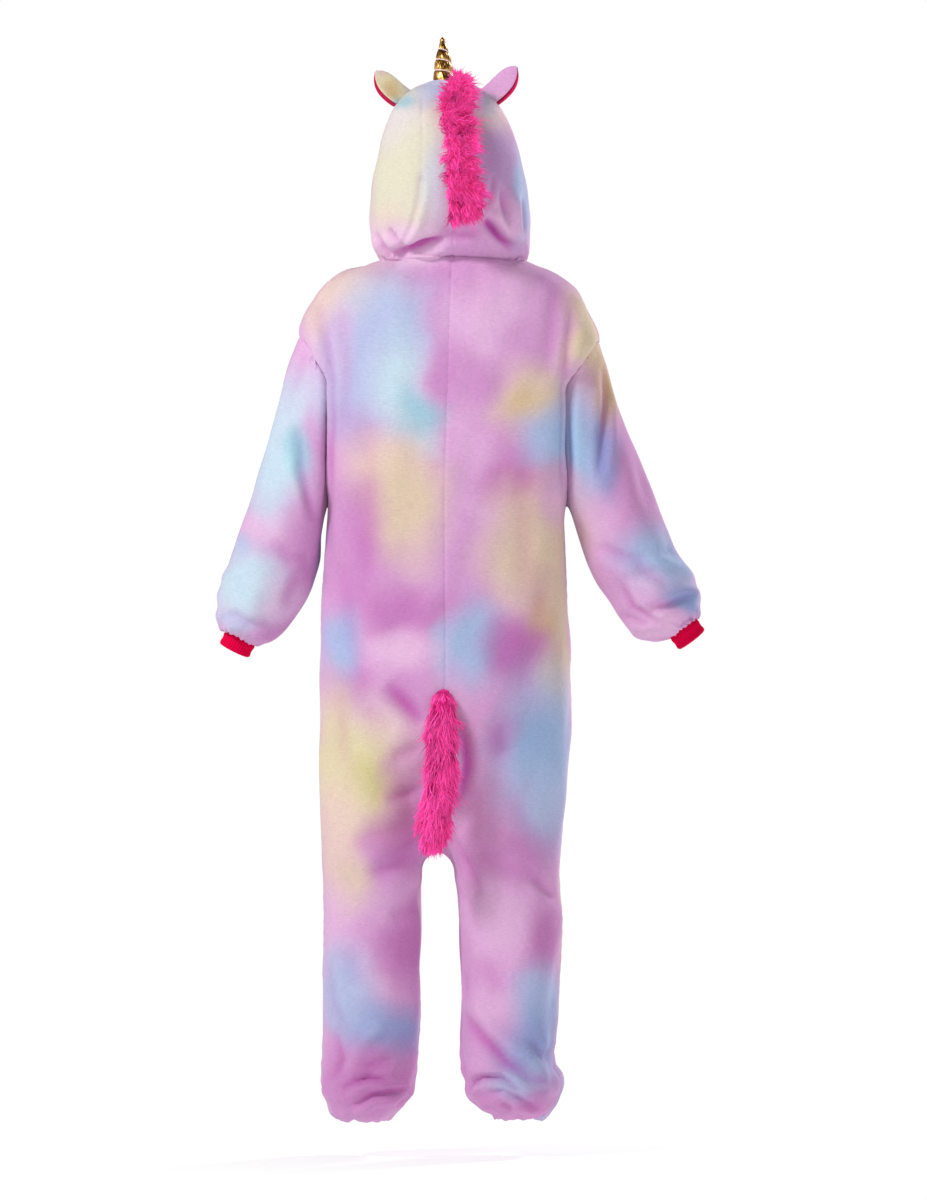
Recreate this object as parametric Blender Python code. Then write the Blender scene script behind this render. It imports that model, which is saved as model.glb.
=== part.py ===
"""A child's unicorn onesie, worn and empty: hooded fleece body, low crotch, fur mane and tail.

+Z is up, the front faces -Y and the wearer's left is +X. The origin is between the shoulders, at the
height of the neck seam. Tables are in millimetres and become metres where the meshes are made.
A point on the body has a face (back or front), a u from the centre line or inseam (0) to the side (1),
and a v down the garment: neck 0, dropped shoulder 1, underarm 2, crotch 3, hem 4.
"""

import math

import bmesh
import bpy
import numpy as np
from mathutils import Matrix, Vector
from mathutils.bvhtree import BVHTree

MM = 0.001
WALL = 2.5  # fleece with its nap
SEAM_GAP = 0.3
MOST_MITRE = 0.6  # a seam's mitre grows no longer than the wall divided by this

# Levels down the garment
UNDERARM_Z = -320.0

# Neck to crotch. The side column is the shoulder seam down to v = 1; the armhole takes over to v = 2.
# v, height at the back and at the front, side's height, left side, right side, back, front, squareness
TRUNK = (
    (0.00, 5, -45, 1, 82, -100, 60, -80, 2.0),
    (0.25, -9, -54, -11, 129, -131, 69, -87, 2.1),
    (0.50, -28, -65, -28, 156, -162, 78, -93, 2.3),
    (0.75, -54, -81, -58, 176, -182, 86, -99, 2.5),
    (1.00, -90, -106, -100, 192, -198, 92, -105, 2.6),
    (1.35, -170, -178, -180, 155, -154, 97, -111, 2.6),
    (1.70, -250, -253, -250, 155, -154, 96, -113, 2.6),
    (2.00, -320, -320, -320, 155, -154, 93, -113, 2.5),
    (2.20, -410, -410, -410, 160, -155, 92, -113, 2.4),
    (2.40, -500, -500, -500, 163, -158, 98, -113, 2.4),
    (2.60, -590, -590, -590, 165, -160, 109, -112, 2.4),
    (2.80, -680, -680, -680, 166, -156, 108, -107, 2.4),
    (3.00, -770, -770, -770, 163, -147, 92, -94, 2.4),
)

# Centre line: v, sideways place. The crotch hangs a little to the wearer's left.
CENTRE = ((0.0, -7), (1.0, -3), (2.0, 3), (2.6, 3), (3.0, 13))

# Legs, crotch to hem, the last rows turned up inside round the elastic.
# v, height, left outer, left inner, right outer, right inner, middle's depth, half-depth
LEGS = (
    (3.00, -770, 163, 13, -147, 13, 3, 80),
    (3.04, -779, 163, 28, -147, -2, 3, 79),
    (3.12, -804, 162, 32, -147, -9, 4, 76),
    (3.25, -855, 161, 31, -149, -13, 5, 72),
    (3.40, -915, 162, 33, -147, -16, 7, 69),
    (3.53, -970, 162, 33, -143, -18, 8, 68),
    (3.64, -1014, 164, 36, -141, -17, 9, 69),
    (3.72, -1044, 166, 40, -140, -18, 9, 73),
    (3.79, -1063, 165, 41, -149, -23, 9, 76),
    (3.85, -1081, 163, 45, -147, -27, 9, 75),
    (3.89, -1096, 158, 55, -140, -39, 9, 69),
    (3.93, -1108, 150, 68, -131, -54, 9, 58),
    (3.96, -1114, 142, 76, -124, -61, 9, 47),
    (3.98, -1109, 139, 79, -121, -64, 9, 42),
    (4.00, -1097, 139, 79, -121, -64, 9, 42),
)
LEG_BLEND_V = 2.5  # where the seat starts to part into two legs

# Armholes
TIP_Z = {1: -96.0, -1: -104.0}
ARMHOLE_DEPTH = {1: 62.0, -1: 68.0}  # back, front
ARMHOLE_DROP = 62.0  # how far below the tip the seam has come in to the body's side
ARMHOLE_CURVE = 1.3

# Sleeves, from the armhole: the first row lies just below it, the last is turned in round the cuff.
# outer edge x and height, inner edge x and height, half-depth, middle's depth
SLEEVES = {
    1: (
        (203, -128, 157, -328, 66, 0),
        (216, -172, 159, -336, 65, -1),
        (229, -215, 161, -347, 63, -3),
        (241, -255, 164, -362, 60, -5),
        (254, -296, 166, -386, 57, -7),
        (267, -338, 171, -407, 55, -9),
        (281, -384, 179, -432, 54, -11),
        (294, -421, 194, -457, 54, -13),
        (299, -446, 211, -479, 50, -15),
        (298, -464, 229, -495, 41, -16),
        (292, -477, 248, -500, 25, -17),
        (285, -464, 242, -486, 23, -17),
    ),
    -1: (
        (-208, -134, -157, -326, 66, 0),
        (-220, -177, -160, -333, 65, -1),
        (-233, -216, -164, -343, 63, -3),
        (-247, -253, -169, -357, 60, -5),
        (-262, -290, -175, -376, 57, -7),
        (-279, -328, -182, -397, 55, -9),
        (-295, -368, -193, -420, 54, -11),
        (-313, -398, -209, -441, 55, -13),
        (-328, -422, -227, -468, 52, -15),
        (-329, -444, -249, -488, 43, -16),
        (-327, -462, -288, -491, 26, -17),
        (-319, -450, -280, -479, 23, -17),
    ),
}
BOW_ROWS = 4.0  # rows over which the sleeve loses the armhole's inward bow

# Cuffs: middle of the line where the sleeve lets them out, and the way they point
CUFFS = {1: ((269, -17, -489), (0.45, -0.1, -0.89)), -1: ((-308, -17, -477), (-0.6, -0.1, -0.79))}
CUFF_RADIUS = 21.0
CUFF_INSIDE = 17.0
CUFF_SHOWS = 18.0

# Hood, neck to crown. Its first row is the neck seam itself; above face_x = 0 it is closed in front.
# height at the back and at the front, middle, half-width, back, front, squareness, face's half-width
HOOD = (
    (14, -28, -8, 98, 73, -91, 2.1, 34),
    (24, -11, -6, 102, 83, -97, 2.1, 48),
    (40, 13, -5, 104, 92, -102, 2.1, 60),
    (62, 42, -4, 105, 101, -104, 2.1, 68),
    (88, 73, -3, 102, 106, -105, 2.1, 72),
    (114, 104, -2, 98, 107, -105, 2.1, 72),
    (140, 133, -2, 92, 103, -103, 2.1, 67),
    (163, 157, -1, 86, 95, -101, 2.0, 58),
    (183, 178, -1, 78, 83, -98, 2.0, 45),
    (200, 194, 0, 69, 67, -93, 2.0, 28),
    (213, 205, 0, 57, 51, -85, 2.0, 0),
    (225, 217, 0, 44, 34, -70, 2.0, 0),
    (233, 227, 0, 27, 14, -46, 2.0, 0),
)
CROWN = (0.0, -13.0, 237.0)
HEAD_TURN = math.radians(6)  # the hood is turned a little to the wearer's left
TURN_FULL_Z = 75.0
HOOD_MIDDLE_Y = -5.0
CHIN_DROP = 3.0  # how late, on the way round to the front, a ring of the hood drops to its front height

# Trims
MANE_ROWS = (3, 13)  # hood rows between which the fur strip runs up the back
MANE_HALF = 18.0
MANE_REACH = 20.0
MANE_LIFT = 1.6
TAIL = (
    # height, middle, depth of the middle, half-width, half-depth
    (-558, 4, 113, 12, 6),
    (-575, 5, 120, 18, 11),
    (-640, 7, 124, 21, 14),
    (-700, 9, 122, 21, 15),
    (-745, 12, 119, 20, 14),
    (-765, 14, 118, 14, 10),
)
HORN_BASE = (4.0, -46.0)
HORN_TIP = (6.0, -66.0, 295.0)
HORN_RADII = (14.0, 13.0, 11.6, 9.3, 5.6, 1.8)
EAR_TIPS = {1: (93, -22, 249), -1: (-91, -22, 255)}
EAR_FEET = {1: ((69, -14, 201), (47, -26, 224)), -1: ((-68, -14, 204), (-46, -26, 227))}
EAR_PUFF = 6.0
EAR_ROLL = 7.0  # how far the outer edge turns towards the back
EAR_BELLY = 0.8  # the outer edge is fuller than the inner one
EAR_HOLLOW = 22.0

# Zip
ZIP_WIDTH = 8.0
ZIP_THICK = 2.2
ZIP_START_V = 0.03
ZIP_END_V = 2.6
SLIDER = (9.0, 4.4, 12.0)  # across, out from the zip, along it
SLIDER_V = 0.28
SLIDER_CLEAR = 0.8  # over the zip's face, which bends away from the straight slider
PULL = (7.0, 1.2, 24.0)
BAR_RADIUS = 0.6

# Largest folds: face, ends (x, height), half-width, depth. A minus depth stands proud.
FOLDS = (
    (1, (-158, -190), (-156, -300), 16, 5),
    (1, (157, -200), (158, -310), 16, 5),
    (1, (64, -555), (32, -610), 16, 4),
    (1, (-26, -610), (-14, -720), 16, 5),
    (1, (45, -640), (70, -690), 18, -4),
    (1, (48, -766), (100, -796), 16, 5),
    (1, (-12, -800), (-60, -832), 16, 4),
    (1, (-52, -990), (-130, -1060), 16, 6),
    (1, (92, -995), (124, -1050), 16, -4),
    (1, (60, -1070), (120, -1082), 14, 5),
    (-1, (110, -1000), (70, -1062), 16, 5),
    (-1, (-110, -1005), (-60, -1066), 16, 5),
    (-1, (120, -560), (50, -700), 20, 4),
    (-1, (-110, -560), (-40, -690), 20, 4),
)

ROWS_V = np.concatenate(
    [
        np.linspace(0, 1, 6)[:-1],
        np.linspace(1, 2, 10)[:-1],
        np.linspace(2, 2.5, 5)[:-1],
        np.linspace(2.5, 3, 7)[:-1],
        [3.0, 3.04, 3.14, 3.28, 3.42, 3.56, 3.67, 3.75, 3.81, 3.87, 3.92, 3.96, 3.98, 4.0],
    ]
)
COLUMNS = 7


def smooth(table, at, column):
    """A smooth line through one column of a table, at values of its first column."""
    knots = np.array([row[0] for row in table], float)
    values = np.array([row[column] for row in table], float)
    slopes = np.gradient(values, knots)
    at = np.clip(at, knots[0], knots[-1])
    i = np.clip(np.searchsorted(knots, at, side="right") - 1, 0, len(knots) - 2)
    span = knots[i + 1] - knots[i]
    t = (at - knots[i]) / span
    rise = values[i + 1] - values[i]
    near = slopes[i] * span - rise
    far = rise - slopes[i + 1] * span
    return values[i] + rise * t + t * (1 - t) * ((1 - t) * near + t * far)


def ease(t):
    t = np.clip(t, 0, 1)
    return t * t * (3 - 2 * t)


def rooted(value, squareness):
    return np.abs(value) ** (2 / squareness)


def armhole(side, face, theta):
    """The armhole seam: theta is 0 at the dropped tip and pi at the underarm."""
    tip_x = TRUNK[4][4] if side > 0 else TRUNK[4][5]
    under_x = TRUNK[7][4] if side > 0 else TRUNK[7][5]
    tip_z = TIP_Z[side]
    z = (tip_z + UNDERARM_Z) / 2 + (tip_z - UNDERARM_Z) / 2 * np.cos(theta)
    out = np.clip((z - tip_z + ARMHOLE_DROP) / ARMHOLE_DROP, 0, 1) ** ARMHOLE_CURVE
    x = under_x + (tip_x - under_x) * out
    return np.stack([x, face * ARMHOLE_DEPTH[face] * np.sin(theta), z], axis=-1)


def trunk_point(side, face, u, v):
    centre_x = smooth(CENTRE, v, 1)
    centre_y = smooth(TRUNK, v, 6 if face > 0 else 7)
    centre_z = smooth(TRUNK, v, 1 if face > 0 else 2)
    edge = np.stack([smooth(TRUNK, v, 4 if side > 0 else 5), 0 * v, smooth(TRUNK, v, 3)], axis=-1)
    tip_lift = (TIP_Z[side] - TRUNK[4][3]) * ease(v)
    edge[..., 2] += np.where(v < 1, tip_lift, 0)
    hole = armhole(side, face, (v - 1) * math.pi)
    edge = np.where(((v >= 1) & (v <= 2))[..., None], hole, edge)
    squareness = smooth(TRUNK, v, 8)
    across = rooted(np.sin(u * math.pi / 2), squareness)
    along = rooted(np.cos(u * math.pi / 2), squareness)
    x = centre_x + (edge[..., 0] - centre_x) * across
    y = edge[..., 1] + (centre_y - edge[..., 1]) * along
    z = centre_z + (edge[..., 2] - centre_z) * ease(across)
    return np.stack([x, y, z], axis=-1)


def leg_point(side, face, u, v):
    outer = smooth(LEGS, v, 2 if side > 0 else 4)
    inner = smooth(LEGS, v, 3 if side > 0 else 5)
    above = v < LEGS[0][0]
    outer = np.where(above, smooth(TRUNK, v, 4 if side > 0 else 5), outer)
    inner = np.where(above, smooth(CENTRE, v, 1), inner)
    x = (outer + inner) / 2 - (outer - inner) / 2 * np.cos(math.pi * u)
    y = smooth(LEGS, v, 6) + face * smooth(LEGS, v, 7) * np.sin(math.pi * u)
    z = np.where(above, smooth(TRUNK, v, 1), smooth(LEGS, v, 1))
    return np.stack([x, y, z], axis=-1)


def body_point(side, face, u, v):
    """The outer skin. The seat turns from one wide section into two round ones, first at the centre."""
    t = np.clip((v - LEG_BLEND_V) / (3 - LEG_BLEND_V), 0, 1)
    centre_share = 1 - np.sqrt(1 - t * t)
    share = centre_share + (ease(t) - centre_share) * ease(u / 0.4)
    trunk = trunk_point(side, face, u, np.minimum(v, 3))
    return trunk + (leg_point(side, face, u, v) - trunk) * share[..., None]


def body_sheet(side, face):
    v, u = np.meshgrid(ROWS_V, np.linspace(0, 1, COLUMNS + 1), indexing="ij")
    return body_point(side, face, u, v)


def sleeve_sheet(side):
    """Rings that fan out from the armhole seam, row by row of the sleeve's table."""
    half = np.linspace(0, math.pi, 10)
    theta = np.concatenate([half, math.pi + half[1:-1]])
    hole = np.concatenate([armhole(side, 1, half), armhole(side, -1, half[::-1])[1:-1]])
    top, under = hole[0], hole[9]
    depth = np.where(np.sin(theta) >= 0, ARMHOLE_DEPTH[1], ARMHOLE_DEPTH[-1])
    plain = (top + under) / 2 + np.outer(np.cos(theta), (top - under) / 2)
    plain[:, 1] += depth * np.sin(theta)
    rings = [hole]
    for number, (out_x, out_z, in_x, in_z, half_depth, middle_y) in enumerate(SLEEVES[side], 1):
        outer = np.array([out_x, middle_y, out_z])
        inner = np.array([in_x, middle_y, in_z])
        ring = (outer + inner) / 2 + np.outer(np.cos(theta), (outer - inner) / 2)
        ring[:, 1] += half_depth * np.sin(theta)
        rings.append(ring + (hole - plain) * (1 - ease(number / BOW_ROWS)))
    return np.array(rings)


def turned(points, middle_x):
    """Turns hood points with the head, more the higher they are above the neck."""
    angle = HEAD_TURN * ease(points[..., 2] / TURN_FULL_Z)
    x = points[..., 0] - middle_x
    y = points[..., 1] - HOOD_MIDDLE_Y
    new_x = middle_x + x * np.cos(angle) - y * np.sin(angle)
    new_y = HOOD_MIDDLE_Y + x * np.sin(angle) + y * np.cos(angle)
    return np.stack([new_x, new_y, points[..., 2]], axis=-1)


def hood_ring(side, row, angles):
    back_z, front_z, middle, half_width, back, front, squareness, _ = row
    reach = np.where(angles < math.pi / 2, back, front) - HOOD_MIDDLE_Y
    x = middle + side * half_width * rooted(np.sin(angles), squareness)
    y = HOOD_MIDDLE_Y + reach * rooted(np.cos(angles), squareness)
    z = back_z + (front_z - back_z) * ((1 - np.cos(angles)) / 2) ** CHIN_DROP
    return turned(np.stack([x, y, z], axis=-1), middle)


def hood_sheet(side, back, front):
    """One half of the hood, from the body's own neck points up to the crown."""
    rows = [np.concatenate([back[0], front[0][::-1][1:]])]
    for row in HOOD:
        last = math.pi - math.asin((row[7] / row[3]) ** (row[6] / 2))
        rows.append(hood_ring(side, row, np.linspace(0, last, 2 * COLUMNS + 1)))
    crown = turned(np.array(CROWN), 0.0)
    rows.append(np.tile(crown, (2 * COLUMNS + 1, 1)))
    return np.array(rows)


def key(point):
    return tuple(np.round(point, 2))


def own_normals(points, ring, flip):
    """A sheet's unit normal at each of its places."""
    total = {}
    rows, columns = points.shape[:2]
    for r in range(rows - 1):
        for c in range(columns if ring else columns - 1):
            d = (c + 1) % columns
            corners = (points[r, c], points[r, d], points[r + 1, d], points[r + 1, c])
            normal = np.cross(corners[2] - corners[0], corners[3] - corners[1]) * flip
            for corner in corners:
                total[key(corner)] = total.get(key(corner), 0) + normal
    return {place: normal / (np.linalg.norm(normal) + 1e-9) for place, normal in total.items()}


def shared_normals(sheets):
    """One normal for each place, halfway between the sheets that meet there, so that their walls meet on a
    mitre. It is longer than one where they meet at an angle, which keeps the walls' thickness."""
    found = {}
    for sheet in sheets.values():
        for place, normal in own_normals(*sheet).items():
            found.setdefault(place, []).append(normal)
    shared = {}
    for place, normals in found.items():
        middle = np.sum(normals, axis=0)
        middle /= np.linalg.norm(middle)
        lean = np.mean([normal @ middle for normal in normals])
        shared[place] = middle / max(lean, MOST_MITRE)
    return shared


def normals_of(points, normals):
    flat = [normals[key(point)] for point in points.reshape(-1, 3)]
    return np.array(flat).reshape(points.shape)


def fold_depth(points):
    """How far each point sinks into, or stands out of, the largest folds."""
    depth = np.zeros(points.shape[:-1])
    for face, start, end, half_width, deep in FOLDS:
        start, end = np.array(start, float), np.array(end, float)
        flat = points[..., [0, 2]] - start
        run = end - start
        t = np.clip(flat @ run / (run @ run), 0, 1)
        away = np.linalg.norm(flat - t[..., None] * run, axis=-1)
        shape = np.exp(-((away / half_width) ** 2)) * np.clip(face * points[..., 1] / 20, 0, 1)
        depth += deep * shape
    return depth


def folded(sheets):
    normals = shared_normals(sheets)
    return {
        name: (points - normals_of(points, normals) * fold_depth(points)[..., None], ring, flip)
        for name, (points, ring, flip) in sheets.items()
    }


def drawn_in(points, ring):
    """Moves a sheet's edges half a seam gap inwards, along the sheet."""
    out = points.copy()
    gap = SEAM_GAP / 2
    edges = [((0, slice(None)), (1, slice(None))), ((-1, slice(None)), (-2, slice(None)))]
    if not ring:
        edges += [((slice(None), 0), (slice(None), 1)), ((slice(None), -1), (slice(None), -2))]
    for edge, inside in edges:
        step = points[inside] - points[edge]
        length = np.linalg.norm(step, axis=-1, keepdims=True)
        out[edge] += step / np.maximum(length, 1e-6) * gap
    return out


def mesh_object(name, points, faces, parts, material):
    """An object in metres from millimetre points. Points at one place become one."""
    index, spots, polygons = {}, [], []
    for face in faces:
        corners = []
        for corner in face:
            place = tuple(np.round(points[corner], 4))
            if place not in index:
                index[place] = len(spots)
                spots.append(Vector(place) * MM)
            if index[place] not in corners:
                corners.append(index[place])
        if len(corners) > 2:
            polygons.append(corners)
    mesh = bpy.data.meshes.new(name)
    mesh.from_pydata(spots, [], polygons)
    work = bmesh.new()
    work.from_mesh(mesh)
    bmesh.ops.recalc_face_normals(work, faces=work.faces)
    if work.calc_volume(signed=True) < 0:
        bmesh.ops.reverse_faces(work, faces=work.faces)
    bmesh.ops.triangulate(work, faces=[face for face in work.faces if len(face.verts) > 3])
    work.to_mesh(mesh)
    work.free()
    mesh.materials.append(material)
    mesh.shade_smooth()
    mesh.set_sharp_from_angle(angle=math.radians(50))
    made = bpy.data.objects.new(name, mesh)
    parts.objects.link(made)
    return made


def loft(outer, inner, ring):
    """Points and faces of a wall between two skins, with its rims.

    Solidify offsets each panel alone, so the walls of two panels would cross or gape at their seam; these
    skins share one offset there.
    """
    rows, columns = outer.shape[:2]
    points = np.concatenate([outer.reshape(-1, 3), inner.reshape(-1, 3)])
    grid = np.arange(rows * columns).reshape(rows, columns)
    far = grid + rows * columns
    faces = []
    for r in range(rows - 1):
        for c in range(columns if ring else columns - 1):
            d = (c + 1) % columns
            faces.append((grid[r, c], grid[r, d], grid[r + 1, d], grid[r + 1, c]))
            faces.append((far[r, c], far[r + 1, c], far[r + 1, d], far[r, d]))
    rims = [(grid[0], far[0]), (grid[-1], far[-1])]
    if ring:
        rims = [(np.append(a, a[0]), np.append(b, b[0])) for a, b in rims]
    else:
        rims += [(grid[:, 0], far[:, 0]), (grid[:, -1], far[:, -1])]
    for near_edge, far_edge in rims:
        for i in range(len(near_edge) - 1):
            faces.append((near_edge[i], near_edge[i + 1], far_edge[i + 1], far_edge[i]))
    return points, faces


def cloth(name, sheet, normals, parts, material):
    points, ring, _ = sheet
    edges = drawn_in(points, ring)
    inner = edges - normals_of(points, normals) * WALL
    return mesh_object(name, *loft(edges, inner, ring), parts, material)


def solid_rings(rings, cap_start, cap_end):
    """Points and faces of a closed solid lofted through rings, with a point at each end."""
    rings = np.array(rings)
    rows, columns = rings.shape[:2]
    points = np.concatenate([rings.reshape(-1, 3), [cap_start], [cap_end]])
    grid = np.arange(rows * columns).reshape(rows, columns)
    start, end = rows * columns, rows * columns + 1
    faces = []
    for c in range(columns):
        d = (c + 1) % columns
        faces += [(grid[r, c], grid[r, d], grid[r + 1, d], grid[r + 1, c]) for r in range(rows - 1)]
        faces.append((start, grid[0, d], grid[0, c]))
        faces.append((end, grid[-1, c], grid[-1, d]))
    return points, faces


def cuff(side):
    """A short knitted tube that comes out of the bloused sleeve end."""
    middle, way = np.array(CUFFS[side][0], float), Vector(CUFFS[side][1]).normalized()
    across = way.cross(Vector((0, 1, 0))).normalized()
    deep = way.cross(across)
    angles = np.linspace(0, 2 * math.pi, 18, endpoint=False)
    circle = np.outer(np.cos(angles), across) + np.outer(np.sin(angles), deep)
    stops = (-CUFF_INSIDE, 0, CUFF_SHOWS)
    outer = np.array([middle + np.array(way) * stop + circle * CUFF_RADIUS for stop in stops])
    inner = np.array([middle + np.array(way) * stop + circle * (CUFF_RADIUS - WALL) for stop in stops])
    return loft(outer, inner, True)


def mane(left, right, normals):
    """The fur's reach: a strip along the hood's seam, from above the neck, over the crown."""
    rings = []
    side_share = MANE_HALF / HOOD[-1][3]
    crown, crown_left = left[-1, 0], left[-2, COLUMNS]
    crown_right = right[-2, COLUMNS]
    stations = []
    for row in range(*MANE_ROWS):
        table = HOOD[row]
        angle = np.array([math.asin((MANE_HALF / table[3]) ** (table[6] / 2))])
        stations.append((hood_ring(1, table, angle)[0], left[row + 1, 0], hood_ring(-1, table, angle)[0]))
    edges = [crown + (side - crown) * side_share for side in (crown_left, crown_right)]
    stations.append((edges[0], crown, edges[1]))
    outward = [normals[key(left[row + 1, 0])] for row in range(*MANE_ROWS)] + [np.array([0, 0, 1.0])]
    for number, ((a, b, c), out) in enumerate(zip(stations, outward)):
        end = 0.5 if number in (0, len(stations) - 1) else 1.0
        sideways = (a - c) / np.linalg.norm(a - c) * 5
        rings.append(
            [
                a + out * MANE_LIFT,
                b + out * MANE_LIFT,
                c + out * MANE_LIFT,
                c + out * (MANE_LIFT + 9 * end) - sideways,
                c + out * (MANE_LIFT + MANE_REACH * 0.8 * end),
                b + out * (MANE_LIFT + MANE_REACH * end),
                a + out * (MANE_LIFT + MANE_REACH * 0.8 * end),
                a + out * (MANE_LIFT + 9 * end) + sideways,
            ]
        )
    rings = np.array(rings)
    return solid_rings(rings, rings[0].mean(axis=0), rings[-1].mean(axis=0))


def tail():
    angles = np.linspace(0, 2 * math.pi, 12, endpoint=False)
    rings = [
        [(x + wide * math.cos(a), y + deep * math.sin(a), z) for a in angles]
        for z, x, y, wide, deep in TAIL
    ]
    start = (TAIL[0][1], TAIL[0][2], TAIL[0][0] + 4)
    end = (TAIL[-1][1], TAIL[-1][2], TAIL[-1][0] - 6)
    return solid_rings(rings, start, end)


def landed(tree, point, way, gap):
    """Where a line from the point meets the hood, moved back by the gap."""
    hit = tree.ray_cast(Vector(point), Vector(way).normalized())[0]
    return np.array(hit) - np.array(Vector(way).normalized()) * gap


def horn(tree):
    """A stuffed cone whose foot follows the hood's curve."""
    tip = np.array(HORN_TIP)
    foot = landed(tree, (*HORN_BASE, 400.0), (0, 0, -1), 0)
    way = Vector(foot - tip).normalized()
    across = way.orthogonal().normalized()
    circle = [Matrix.Rotation(a, 3, way) @ across for a in np.linspace(0, 2 * math.pi, 16, endpoint=False)]
    circle = np.array(circle)
    base = [landed(tree, tip + spoke * HORN_RADII[0], way, 0.5) for spoke in circle]
    rings = [base]
    length = np.linalg.norm(foot - tip)
    for number, radius in enumerate(HORN_RADII[1:], 1):
        share = number / (len(HORN_RADII) - 1)
        middle = foot + (tip - foot) * (0.06 + 0.94 * share)
        rings.append(middle + circle * radius)
    start = landed(tree, tip, way, 0.5)
    return solid_rings(rings[: len(HORN_RADII)], start, tip + (tip - foot) / length * 1.5)


def ear(side, tree, front):
    """Half of a stuffed ear: a leaf from the hood to the tip, domed to one side."""
    low, high = (np.array(foot, float) for foot in EAR_FEET[side])
    tip = np.array(EAR_TIPS[side], float)
    root = (low + high) / 2
    width = np.linalg.norm(high - low) / 2
    along = tip - root
    across = (high - low) / np.linalg.norm(high - low)
    out = np.cross(across, along / np.linalg.norm(along))
    out *= np.sign(out[1])
    rows, columns = 6, 7
    flat, domed = np.zeros((rows, columns, 3)), np.zeros((rows, columns, 3))
    puff = -EAR_PUFF if front else EAR_PUFF
    split = -SEAM_GAP / 2 if front else SEAM_GAP / 2
    for r in range(rows):
        s = r / (rows - 1)
        half = width * (1 - s**3.2) * (1 + 0.3 * s)
        half = max(half, 1.5)
        for c in range(columns):
            t = -1 + 2 * c / (columns - 1)
            bulge = 1.0 if t > 0 else EAR_BELLY
            point = root + along * s + across * half * t * bulge + across * EAR_HOLLOW * s * (s - 1)
            point = point + np.array([0, EAR_ROLL * max(-t, 0) ** 2 * (1 - s), 0])
            if r == 0:
                point = landed(tree, point + along * 0.6, -along, 1.2)
            dome = puff * math.sqrt(max(1 - t * t, 0)) * (1 - 0.8 * s)
            flat[r, c] = point + out * split
            domed[r, c] = point + out * (split * 2 + dome)
    return loft(domed, flat, False)


def front_line(v):
    """Points down the front opening, their outward ways and the downward run."""
    points = body_point(1, -1, np.zeros_like(v), v)
    run = np.gradient(points, axis=0)
    run /= np.linalg.norm(run, axis=-1, keepdims=True)
    out = np.cross(run, np.array([1.0, 0, 0]))
    out *= np.sign(-out[:, 1:2])
    return points, out / np.linalg.norm(out, axis=-1, keepdims=True), run


def opened(points, side, v):
    """Parts the front edges to make room for the zip."""
    room = (ZIP_WIDTH / 2 + 1.3 * SEAM_GAP) * ease((ZIP_END_V + 0.05 - v) / 0.05)
    share = np.linspace(1, 0, points.shape[1]) ** 3
    out = points.copy()
    out[..., 0] += side * np.outer(room, share)
    return out


def front_zip():
    v = np.append(ZIP_START_V, ROWS_V[(ROWS_V > ZIP_START_V) & (ROWS_V < ZIP_END_V + 0.01)])
    points, out, _ = front_line(v)
    across = np.array([ZIP_WIDTH / 2, 0, 0])
    outer = np.stack([points - across, points + across], axis=1)
    inner = outer - out[:, None] * ZIP_THICK
    return loft(outer, inner, False)


def slider_frame():
    """The slider's axes, which are across, out from the front and up the zip, and its middle on the zip."""
    v = np.linspace(SLIDER_V - 0.05, SLIDER_V + 0.05, 3)
    points, out, run = front_line(v)
    up = -Vector(run[1])
    across = (Vector((1, 0, 0)) - up * up.x).normalized()
    outward = across.cross(up)
    turn = Matrix((across, -outward, up)).transposed().to_4x4()
    place = Vector(points[1]) + outward * SLIDER_CLEAR
    turn.translation = place * MM
    return turn


def box(work, low, high):
    """A box between two corners, in the slider's millimetres."""
    size = [b - a for a, b in zip(low, high)]
    middle = [(a + b) / 2 for a, b in zip(low, high)]
    made = bmesh.ops.create_cube(work, size=1.0)["verts"]
    bmesh.ops.scale(work, vec=size, verts=made)
    bmesh.ops.translate(work, vec=middle, verts=made)


def joined_boxes(name, boxes, parts, cutters, material, place):
    """A hard piece: boxes joined by Booleans."""
    whole = None
    for number, (low, high) in enumerate(boxes):
        work = bmesh.new()
        box(work, [n * MM for n in low], [n * MM for n in high])
        mesh = bpy.data.meshes.new(f"{name}_{number}")
        work.to_mesh(mesh)
        work.free()
        piece = bpy.data.objects.new(mesh.name, mesh)
        piece.matrix_world = place
        if whole is None:
            piece.name = name
            piece.data.name = name
            parts.objects.link(piece)
            whole = piece
            continue
        cutters.objects.link(piece)
        piece.hide_render = True
        piece.display_type = "WIRE"
        union = whole.modifiers.new(f"join_{number}", "BOOLEAN")
        union.operation = "UNION"
        union.solver = "EXACT"
        union.object = piece
    whole.data.materials.append(material)
    return whole


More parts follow.
